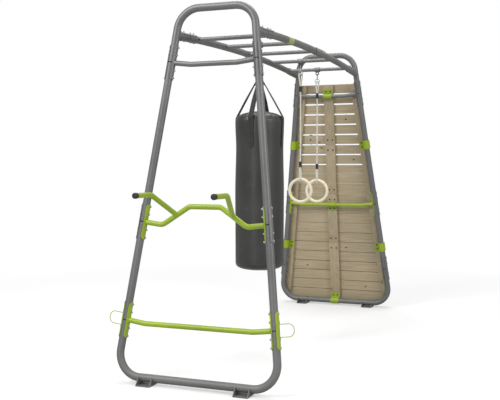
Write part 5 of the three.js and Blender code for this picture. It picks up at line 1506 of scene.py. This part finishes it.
for order, index in enumerate(RING_RUNGS, 1):
    name, centre = f"gym_ring_{order}", rung_centre(index)
    hang = Matrix.Translation(centre)
    piece(f"{name}_hanger", collar(centre), "frame", [f"{name}_collar"])
    mesh = tube(laid(link_route(STEEL_WIRE), hang), LINK_WIRE, ZINC, WIRE_SIDES, True)
    piece(f"{name}_oval_link", mesh, f"{name}_link", [f"{name}_link"])
    route = circle_route(STEEL_RING_RADIUS, STEEL_RING_DROP, STEEL_RING_STEPS)
    mesh = tube(laid(route, hang), STEEL_WIRE, ZINC, WIRE_SIDES, True)
    piece(f"{name}_wire_ring", mesh, f"{name}_rope", [f"{name}_steel_ring"])
    hoop = circle_route(RING_OUTER - RING_SECTION, RING_DROP + RING_OUTER, HOOP_STEPS)
    mesh = tube(laid(hoop, hang), RING_SECTION, RING_CREAM, closed=True)
    piece(f"{name}_smooth_hoop", mesh, f"{name}_hoop", [name])

# %% [markdown]
# ## The boxing bag
# The bag is a tall round cushion, packed hard. Sewing its panels holds the cover in at the
# seams, while the filling pushes it out between them. A short cloth simulation does just that:
# the seams are pinned, pressure from inside swells the rest, and each point's travel is kept to
# a few millimetres, because the cover hardly stretches.

# %% The bag's outline
BAG_RUNG = 1
BAG_RADIUS, BAG_BOTTOM, BAG_SHOULDER, BAG_CROWN = 0.182, 0.612, 1.706, 0.044
BAG_EDGE, BAG_WAIST = 0.040, 0.006
RIM_INSET, RIM_DROP, STRAP_TAIL = 0.008, 0.028, 0.215
RIM_RISE, RIM_ROLL, BOTTOM_SAG = 0.020, 0.024, 0.003
FLAT_STEPS, EDGE_STEPS, BAG_ROWS, RIM_STEPS, CROWN_STEPS = 16, 8, 130, 5, 15
bag_centre = rung_centre(BAG_RUNG)


def bag_radius(height):
    """The side's radius: pinched a little where the straps end, and drawn in at the rim."""
    tail_end = BAG_SHOULDER - STRAP_TAIL
    middle = (BAG_BOTTOM + BAG_SHOULDER) / 2
    rim_start = BAG_SHOULDER - RIM_DROP
    if height > rim_start:
        return BAG_RADIUS - RIM_INSET * ((height - rim_start) / RIM_DROP) ** 2
    reach = (rim_start - tail_end) if height > tail_end else (tail_end - middle)
    share = max(0, 1 - abs(height - tail_end) / reach)
    return BAG_RADIUS - BAG_WAIST * share * share * (3 - 2 * share)


def bag_profile():
    """Radius and height pairs, evenly spaced, from the bottom's middle to the crown's middle."""
    edge = BAG_EDGE
    flat = BAG_RADIUS - edge
    shares = [i / FLAT_STEPS for i in range(1, FLAT_STEPS)]
    points = [(flat * share, BAG_BOTTOM + BOTTOM_SAG * (1 - share)) for share in shares]
    for i in range(EDGE_STEPS + 1):
        angle = math.pi / 2 * i / EDGE_STEPS
        points.append((flat + edge * math.sin(angle), BAG_BOTTOM + edge - edge * math.cos(angle)))
    for i in range(1, BAG_ROWS + 1):
        height = BAG_BOTTOM + edge + (BAG_SHOULDER - BAG_BOTTOM - edge) * i / BAG_ROWS
        points.append((bag_radius(height), height))
    rim_radius = BAG_RADIUS - RIM_INSET
    for i in range(1, RIM_STEPS + 1):
        angle = math.pi / 2 * i / RIM_STEPS
        radius = rim_radius - RIM_ROLL * (1 - math.cos(angle))
        points.append((radius, BAG_SHOULDER + RIM_RISE * math.sin(angle)))
    for i in range(1, CROWN_STEPS):
        share = i / CROWN_STEPS
        height = RIM_RISE + (BAG_CROWN - RIM_RISE) * math.sin(math.pi / 2 * share)
        points.append(((rim_radius - RIM_ROLL) * (1 - share), BAG_SHOULDER + height))
    return points


print("the bag's outline has", len(bag_profile()), "points")

# %% Turn the bag, slightly small
BAG_SHRINK, LUMP, FINE_LUMP = 0.0045, 0.0030, 0.0008
BAG_SIDES = 160
SEAM_HEIGHTS = (BAG_BOTTOM + 0.030, BAG_SHOULDER - 0.006)
SEAM_REACH = 0.0055


def bag_start():
    profile = [(0, BAG_BOTTOM), *bag_profile(), (0, BAG_SHOULDER + BAG_CROWN)]
    mesh = turned(profile, BAG_SIDES, Matrix.Translation((bag_centre.x, bag_centre.y, 0)), BAG_COVER)
    for vertex in mesh.vertices:
        out = Vector((vertex.co.x - bag_centre.x, vertex.co.y - bag_centre.y, 0))
        lump = noise.noise(vertex.co * Vector((5, 5, 2.2))) * LUMP
        lump += noise.noise(vertex.co * Vector((13, 13, 5))) * FINE_LUMP
        if out.length > 0.01:
            vertex.co += out.normalized() * (lump - BAG_SHRINK) * min(1, out.length / 0.1)
    return mesh


def seam_depth(place):
    """One on a seam, falling to zero a few millimetres away: two rings and two uprights."""
    ring = min(abs(place.z - height) for height in SEAM_HEIGHTS)
    angle = math.atan2(place.y - bag_centre.y, place.x - bag_centre.x) - math.pi / 4
    upright = abs((angle + math.pi / 2) % math.pi - math.pi / 2) * BAG_RADIUS
    on_side = BAG_BOTTOM + BAG_EDGE < place.z < BAG_SHOULDER
    away = min(ring, upright) if on_side else ring
    return max(0.0, 1 - away / SEAM_REACH)


bag_mesh = bag_start()
print("the bag starts with", len(bag_mesh.vertices), "points")

# %% Swell the cover between its seams
BAG_PRESSURE, BAG_FRAMES, BAG_TRAVEL = 4.0, 20, 0.007


def swell(mesh):
    soft = bpy.data.objects.new("swelling", mesh)
    scene.collection.objects.link(soft)
    pinned = soft.vertex_groups.new(name="seams")
    for vertex in mesh.vertices:
        if seam_depth(vertex.co) > 0.3:
            pinned.add([vertex.index], 1.0, "REPLACE")
    cloth = soft.modifiers.new("cloth", "CLOTH")
    settings = cloth.settings
    settings.quality = 4
    settings.mass = 0.4
    settings.tension_stiffness = 12
    settings.compression_stiffness = 12
    settings.bending_stiffness = 4
    settings.use_pressure = True
    settings.uniform_pressure_force = BAG_PRESSURE
    settings.effector_weights.gravity = 0
    settings.vertex_group_mass = "seams"
    cloth.point_cache.frame_start = 1
    cloth.point_cache.frame_end = BAG_FRAMES
    before = [vertex.co.copy() for vertex in mesh.vertices]
    for step in range(1, BAG_FRAMES + 1):
        scene.frame_set(step)
    done = bpy.data.meshes.new_from_object(soft.evaluated_get(bpy.context.evaluated_depsgraph_get()))
    furthest = 0.0
    for vertex, start in zip(done.vertices, before):
        move = vertex.co - start
        furthest = max(furthest, move.length)
        if move.length > BAG_TRAVEL:
            vertex.co = start + move.normalized() * BAG_TRAVEL
    bpy.data.objects.remove(soft)
    scene.frame_set(1)
    print("cloth moved up to", round(furthest * 1000, 1), "mm")
    return done


bag_mesh = swell(bag_mesh)
print("the widest side is", round(max(v.co.x for v in bag_mesh.vertices) * 1000), "mm from the middle")

# %% Sink the seams and finish the cover
SEAM_SINK = 0.0016

seam = bag_mesh.attributes.new("seam", "FLOAT", "POINT")
depths = [seam_depth(vertex.co) for vertex in bag_mesh.vertices]
seam.data.foreach_set("value", depths)
for vertex, depth in zip(bag_mesh.vertices, depths):
    out = Vector((vertex.co.x - bag_centre.x, vertex.co.y - bag_centre.y, 0))
    if out.length > BAG_RADIUS * 0.9:
        vertex.co -= out.normalized() * depth * SEAM_SINK
bag = piece("bag_cover", bag_mesh, "bag", ["bag_body"], math.radians(89))
print("bag", len(bag_mesh.polygons), "faces, radius about", round(max(v.co.x for v in bag_mesh.vertices), 4))

# %% [markdown]
# The bag hangs from a swivel, so that it can turn. A stem comes out of it and ends in a
# square of steel wire, and a webbing strap turns round each side of the square. Round bodies
# are turned from a profile, and wires are tubes, so the helpers from above make all of them.

# %% Hang the link and turn the swivel
SWIVEL_EYE = LINK_BOTTOM + EYE_RADIUS
SWIVEL_TOP = SWIVEL_EYE + EYE_RADIUS
SWIVEL_LENGTH, SWIVEL_RADIUS = 0.076, 0.015
hang = Matrix.Translation(bag_centre)

piece("bag_hanger", collar(bag_centre), "frame", ["bag_collar"])
mesh = tube(laid(link_route(EYE_WIRE), hang), LINK_WIRE, ZINC, WIRE_SIDES, True)
piece("bag_oval_link", mesh, "bag_link", ["bag_link"])

top, low = -SWIVEL_TOP, -SWIVEL_TOP - SWIVEL_LENGTH
bore, neck, chamfer = 0.0068, 0.0138, 0.0025
SWIVEL_PROFILE = [
    (0, low + 0.012), (bore, low + 0.012), (bore, low), (SWIVEL_RADIUS - chamfer, low),
    (SWIVEL_RADIUS, low + chamfer), (SWIVEL_RADIUS, low + 0.020), (neck, low + 0.0212),
    (neck, low + 0.0238), (SWIVEL_RADIUS, low + 0.025), (SWIVEL_RADIUS, top - 0.018),
    (neck, top - 0.0168), (neck, top - 0.0142), (SWIVEL_RADIUS, top - 0.013),
    (SWIVEL_RADIUS, top - chamfer), (SWIVEL_RADIUS - chamfer, top), (0, top),
]
route = circle_route(EYE_RADIUS, SWIVEL_EYE, COLLAR_STEPS)
eye = tube(laid(route, hang), EYE_WIRE, BLACK_COAT, EYE_SIDES, True)
mesh = joined(turned(SWIVEL_PROFILE, 36, hang, BLACK_COAT), eye)
piece("bag_swivel_housing", mesh, "bag_swivel", ["bag_swivel"])
print("the swivel's housing is", round(top - low, 3), "m long")

# %% Turn the stem and bend the square of wire
HUB_DROP, HUB_HALF, HUB_WIRE, HUB_BEND, STEM_RADIUS = 0.249, 0.016, 0.003, 0.004, 0.006

stem_top, stem_foot = low + 0.0115, -HUB_DROP - HUB_WIRE
stem = [(0, stem_foot), (STEM_RADIUS, stem_foot), (STEM_RADIUS, stem_top), (0, stem_top)]
corners = ((1, 0), (1, 1), (-1, 1), (-1, -1), (1, -1), (1, 0))
square = [(x * HUB_HALF, y * HUB_HALF, -HUB_DROP) for x, y in corners]
reach = HUB_HALF - 0.001
arms = [[(-reach, sign * -reach, -HUB_DROP), (reach, sign * reach, -HUB_DROP)] for sign in (1, -1)]
made = [turned(stem, 28, hang, BLACK_COAT)]
route = bent_route(square, HUB_BEND)[:-1]
made.append(tube(laid(route, hang), HUB_WIRE, BLACK_COAT, WIRE_SIDES, True))
made += [tube(laid(arm, hang), HUB_WIRE, BLACK_COAT, WIRE_SIDES) for arm in arms]
piece("bag_hub", joined(*made), "bag")
print("the square of wire lies", round(HUB_DROP, 3), "m below the rung's axis")

# %% [markdown]
# ### The bag's straps
# A strap is a long strip whose width changes, and the woven ribs of its material follow two
# lengths, one along it and one across. A curve's radius would thin the strap where it narrows
# it, so the strip is built from rings of points, and each point keeps its two lengths. Its
# middle line is drawn in a flat plane first.

# %% The line of a strap
FLAP_LENGTH, FLAP_OPENING, STRAP_LAYER, STRAP_CLEAR = 0.052, 0.026, 0.0033, 0.0018
RIM_BENDS, WRAP_STEPS, RUN_STEPS = (0.035, 0.2), 10, 30
SHOULDER_DROP = bag_centre.z - BAG_SHOULDER
rim = Vector((BAG_RADIUS * math.cos(math.pi / 24) + STRAP_CLEAR, -SHOULDER_DROP))
wire = Vector((HUB_HALF, -HUB_DROP))
STRAP_WRAP = HUB_WIRE + STRAP_CLEAR


def strap_line():
    """Points with x outward and y up: flap, turn round the wire, run, rim and tail."""
    down = (rim - wire).normalized()
    inward = Vector((down.y, -down.x))
    run_start = wire - inward * STRAP_WRAP
    run = (rim - run_start).normalized()
    run_inward = Vector((run.y, -run.x))
    flap_middle = (FLAP_LENGTH + FLAP_OPENING) / 2
    reaches = (FLAP_LENGTH, flap_middle, FLAP_OPENING)
    line = [run_start + run * reach + run_inward * STRAP_LAYER for reach in reaches]
    for i in range(WRAP_STEPS + 1):
        angle = math.pi * i / WRAP_STEPS
        line.append(wire + (inward * math.cos(angle) - down * math.sin(angle)) * STRAP_WRAP)
    below, end = (rim.x, rim.y - RIM_DROP, 0), (rim.x - BAG_WAIST, rim.y - STRAP_TAIL, 0)
    bend = bent_route([(*run_start, 0), (*rim, 0), below, end], RIM_BENDS)
    for a, b in zip(bend, bend[1:]):
        parts = RUN_STEPS if (b - a).length > 0.1 else 1
        line += [Vector(a.lerp(b, (i + 1) / parts)[:2]) for i in range(parts)]
    return line


STRAP_LINE = strap_line()
print("each strap is", round(route_length(STRAP_LINE), 3), "m long")

# %% Cut the straps
STRAP_WIDTH, STRAP_NARROW, STRAP_THICK, STRAP_FOLD = 0.038, 0.017, 0.003, 0.45
STRAP_SHARES = (-1, -0.94, -0.7, -0.35, 0, 0.35, 0.7, 0.94, 1)
EDGE_THINNING, FOLD_HOLLOW = 0.35, 0.0035


def strap(order, line):
    """One strap as a strip with rounded edges, hollowed a little where it folds or hugs the bag."""
    fold_start = -SHOULDER_DROP + STRAP_FOLD * (SHOULDER_DROP - HUB_DROP)
    grid = bmesh.new()
    along_layer = grid.verts.layers.float.new("along")
    across_layer = grid.verts.layers.float.new("across")
    rings, travelled = [], 0.0
    for i, (point, (before, after)) in enumerate(zip(line, directions(line))):
        travelled += (point - line[i - 1]).length if i else 0
        way = (before + after).normalized()
        normal = Vector((-way.y, way.x))
        fold = min(1, max(0, (point.y - fold_start) / (-HUB_DROP - fold_start)))
        width = STRAP_WIDTH + (STRAP_NARROW - STRAP_WIDTH) * fold
        ring = []
        for face in (1, -1):
            for share in STRAP_SHARES[::face]:
                thick = STRAP_THICK / 2 * (EDGE_THINNING if abs(share) == 1 else 1)
                across = share * width / 2
                bow = across**2 / (2 * BAG_RADIUS) + fold * FOLD_HOLLOW * share**2
                spot = point + normal * face * thick
                vertex = grid.verts.new((spot.x - bow, across, spot.y))
                vertex[along_layer] = travelled
                vertex[across_layer] = share * STRAP_WIDTH / 2
                ring.append(vertex)
        rings.append(ring)
    lofted(grid, rings)
    grid.faces.new(rings[0][::-1])
    grid.faces.new(rings[-1])
    return solid(grid, "strap", WEBBING, hang @ Matrix.Rotation(math.pi / 2 * order, 4, "Z"))


straps = [strap(order, STRAP_LINE) for order in range(4)]
piece("bag_straps", joined(*straps), "bag", ["bag_harness"])
print("straps", len(straps), "with", len(straps[0].polygons), "faces each")

# %% [markdown]
# A strap is folded narrow at the top and sewn down the bag's side at its lower end. A line of
# stitches runs down each edge of that end, with a cross between them. A stitch is a
# small grain lying along its seam. The tree sets one on every point and turns it two ways, out
# of the strap and along the seam.

# %% A tree for stitches
THREAD = moulded("thread", (96, 94, 90), 0.8, 2000)
STITCH_PITCH, STITCH_LENGTH, STITCH_WIDTH = 0.0065, 0.0046, 0.0012


def stitch_tree():
    graph, given = new_tree("stitches", Length="Float", Width="Float", Material="Material")
    grain = graph.node("GeometryNodeMeshUVSphere", {}, {"Segments": 6, "Rings": 4, "Radius": 1.0}, "Mesh")
    size = graph.combined(given["Length"] / 2, given["Width"] / 2, given["Width"] / 2)
    along_seam = {"Rotation": faced(graph), "Vector": graph.direction("seam_way")}
    pivot = {"axis": "X", "pivot_axis": "Z"}
    turn = graph.node("FunctionNodeAlignRotationToVector", pivot, along_seam)
    return set_out(graph, given, grain, turn, Scale=size)


def seam_run(start, end):
    """Points and ways of the stitches from start to end, in the strap's side: across and down."""
    way = Vector(end) - Vector(start)
    count = max(2, round(way.length / STITCH_PITCH))
    return [(Vector(start) + way * (i + 0.5) / count, way.normalized()) for i in range(count)]


print("a seam of 0.1 m takes", len(seam_run((0, 0), (0.1, 0))), "stitches")

# %% Sew the straps to the bag
edge, tail_top, tail_end = STRAP_WIDTH / 2 - 0.004, -0.022, -STRAP_TAIL + 0.006
cross_top = tail_end + 0.060
runs = [((-edge, tail_top), (-edge, tail_end)), ((edge, tail_top), (edge, tail_end))]
runs += [((-edge, tail_end), (edge, tail_end)), ((-edge, cross_top), (edge, cross_top))]
runs += [((-edge, tail_end), (edge, cross_top)), ((edge, tail_end), (-edge, cross_top))]
stitches, ways = [], []


def strap_face(height):
    """The strap's outer face at a height below the rim: its line leans in below the rim's roll."""
    below = max(0, -RIM_DROP - height) / (STRAP_TAIL - RIM_DROP)
    return rim.x - BAG_WAIST * below + STRAP_THICK / 2


for order in range(4):
    turn = hang @ Matrix.Rotation(math.pi / 2 * order, 4, "Z")
    spin = turn.to_3x3()
    for start, end in runs:
        for spot, way in seam_run(start, end):
            bow = spot.x**2 / (2 * BAG_RADIUS)
            face = strap_face(spot.y) - bow
            stitches.append((turn @ Vector((face, spot.x, rim.y + spot.y)), spin @ Vector((1, 0, 0))))
            ways.append(spin @ Vector((0, way.x, way.y)))
source = cloud(stitches)
seam_ways = source.data.attributes.new("seam_way", "FLOAT_VECTOR", "POINT")
for item, way in zip(seam_ways.data, ways):
    item.vector = way
sizes = {"Length": STITCH_LENGTH, "Width": STITCH_WIDTH}
mesh = run_tree(stitch_tree(), source, **sizes, Material=THREAD)
piece("bag_stitches", mesh, "bag")
print("stitches", len(stitches))

# %% [markdown]
# ## Feet, and a band on a rail
# The feet keep the fixed model's own solids, because pressed plate is already right as flat
# faces. They only get a paint, and a narrow bevel that catches the light. One rail
# carries a plain green band.

# %% Paint the feet and wrap the band
FOOT_EDGE = 0.0008
BAND_START, BAND_END, BAND_THICKNESS = -0.700, -0.590, 0.0004
BAND_GREEN = moulded("band green", (158, 166, 104), 0.5, 500)

for prefix, _, _ in FRAMES:
    for name, _ in SIDES:
        foot = nodes[f"{prefix}_foot_{name}"]
        for material_slot in foot.material_slots:
            material_slot.material = GREY_PAINT
        soften(foot, FOOT_EDGE)

band = tube(rail_route(1, BAND_START, BAND_END, 4), TUBE_RADIUS + BAND_THICKNESS, BAND_GREEN)
piece("rail_band", band, "frame")
print("band", round(BAND_END - BAND_START, 3), "m long")

# %% [markdown]
# ## Floor and light
# A pale floor takes the shadow. It is lifted to white only where the camera sees it
# directly, so the light that it throws back on the tubes stays that of a pale floor. The sky
# gives soft light from all round and looks white to the camera. Four softboxes give the tubes
# their bright stripes, as in a studio.

# %% Stand the frame on a pale floor
FLOOR_RADIUS, FLOOR_SIDES, FLOOR_DROP = 60, 64, 0.0005
FLOOR_GLOW, FADE_REACH = 0.39, 8
BLACK, WHITE, MIDDLE_GREY = (0, 0, 0, 1), (1, 1, 1, 1), (0.5, 0.5, 0.5, 1)

grid = bmesh.new()
bmesh.ops.create_circle(grid, cap_ends=True, segments=FLOOR_SIDES, radius=FLOOR_RADIUS)
floor_mesh = bpy.data.meshes.new("floor")
grid.to_mesh(floor_mesh)
grid.free()
floor = bpy.data.objects.new("floor", floor_mesh)
floor.location.z = -FLOOR_DROP
scene.collection.objects.link(floor)
floor_paint = bpy.data.materials.new("pale floor")
floor_paint.use_nodes = True
floor_paint.node_tree.nodes.clear()
graph = Graph(floor_paint.node_tree)
seen = graph.node("ShaderNodeLightPath", {}, {}, "Is Camera Ray")
glow = graph.mix(seen, BLACK, (FLOOR_GLOW, FLOOR_GLOW, FLOOR_GLOW, 1))
pale = {"Base Color": MIDDLE_GREY, "Roughness": 0.9, "Emission Color": glow, "Emission Strength": 1.0}
shader = graph.node("ShaderNodeBsdfPrincipled", {}, pale)
white = graph.node("ShaderNodeEmission", {}, {"Color": WHITE, "Strength": 1.0})
place = graph.node("ShaderNodeTexCoord", out="Object")
from_middle = graph.node("ShaderNodeVectorMath", {"operation": "LENGTH"}, {0: place}, "Value")
far = graph.ramp(from_middle / FADE_REACH, (0.34, 0.0), (0.62, 1.0)) * seen
blend = graph.node("ShaderNodeMixShader", {}, {0: far, 1: shader, 2: white})
graph.node("ShaderNodeOutputMaterial", {}, {"Surface": blend})
floor_mesh.materials.append(floor_paint)
floor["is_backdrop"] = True
print("the floor reaches", FLOOR_RADIUS, "m")

# %% Light it from the sky and from four softboxes
world = bpy.data.worlds.new("sky")
world.use_nodes = True
world.node_tree.nodes.clear()
graph = Graph(world.node_tree)
seen = graph.node("ShaderNodeLightPath", {}, {}, "Is Camera Ray")
sky = graph.mix(seen, MIDDLE_GREY, WHITE)
background = graph.node("ShaderNodeBackground", {}, {"Color": sky, "Strength": 1.0})
graph.node("ShaderNodeOutputWorld", {}, {"Surface": background})
scene.world = world


def softbox(name, place, target, width, height, watts):
    """A rectangle of light at a place, aimed at a target."""
    lamp = bpy.data.objects.new(name, bpy.data.lights.new(name, "AREA"))
    lamp.data.shape = "RECTANGLE"
    lamp.data.size, lamp.data.size_y, lamp.data.energy = width, height, watts
    lamp.location = place
    lamp.rotation_euler = (Vector(place) - Vector(target)).to_track_quat("Z", "Y").to_euler()
    scene.collection.objects.link(lamp)
    lamp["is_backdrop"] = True


softbox("key_light", (-3.5, -6.0, 6.5), (0, 0, 1.0), 3.0, 3.0, 400)
softbox("side_light", (6.0, -2.5, 4.0), (0, 0, 1.0), 2.4, 4.0, 170)
softbox("tall_light", (-0.7, -7.4, 1.9), (0, 0, 1.2), 0.7, 3.0, 40)
softbox("top_light", (0, 1.5, 7.0), (0, 0, 0), 5.0, 5.0, 300)
scene.view_settings.view_transform = "Standard"
print("floor, sky and four softboxes")

# %% [markdown] ## The size
# The finished object has to stay the size of the fixed model.

# The sizes of the fixed model and of the finished object are printed side by side.

# %% Print the sizes and finish
bpy.context.view_layer.update()
low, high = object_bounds()
sizes = {"cad": [list(cad_low), list(cad_high)], "visual": [list(low), list(high)]}
for axis, before, after in zip("xyz", cad_high - cad_low, high - low):
    print(axis, "model", round(before, 4), "visual", round(after, 4))
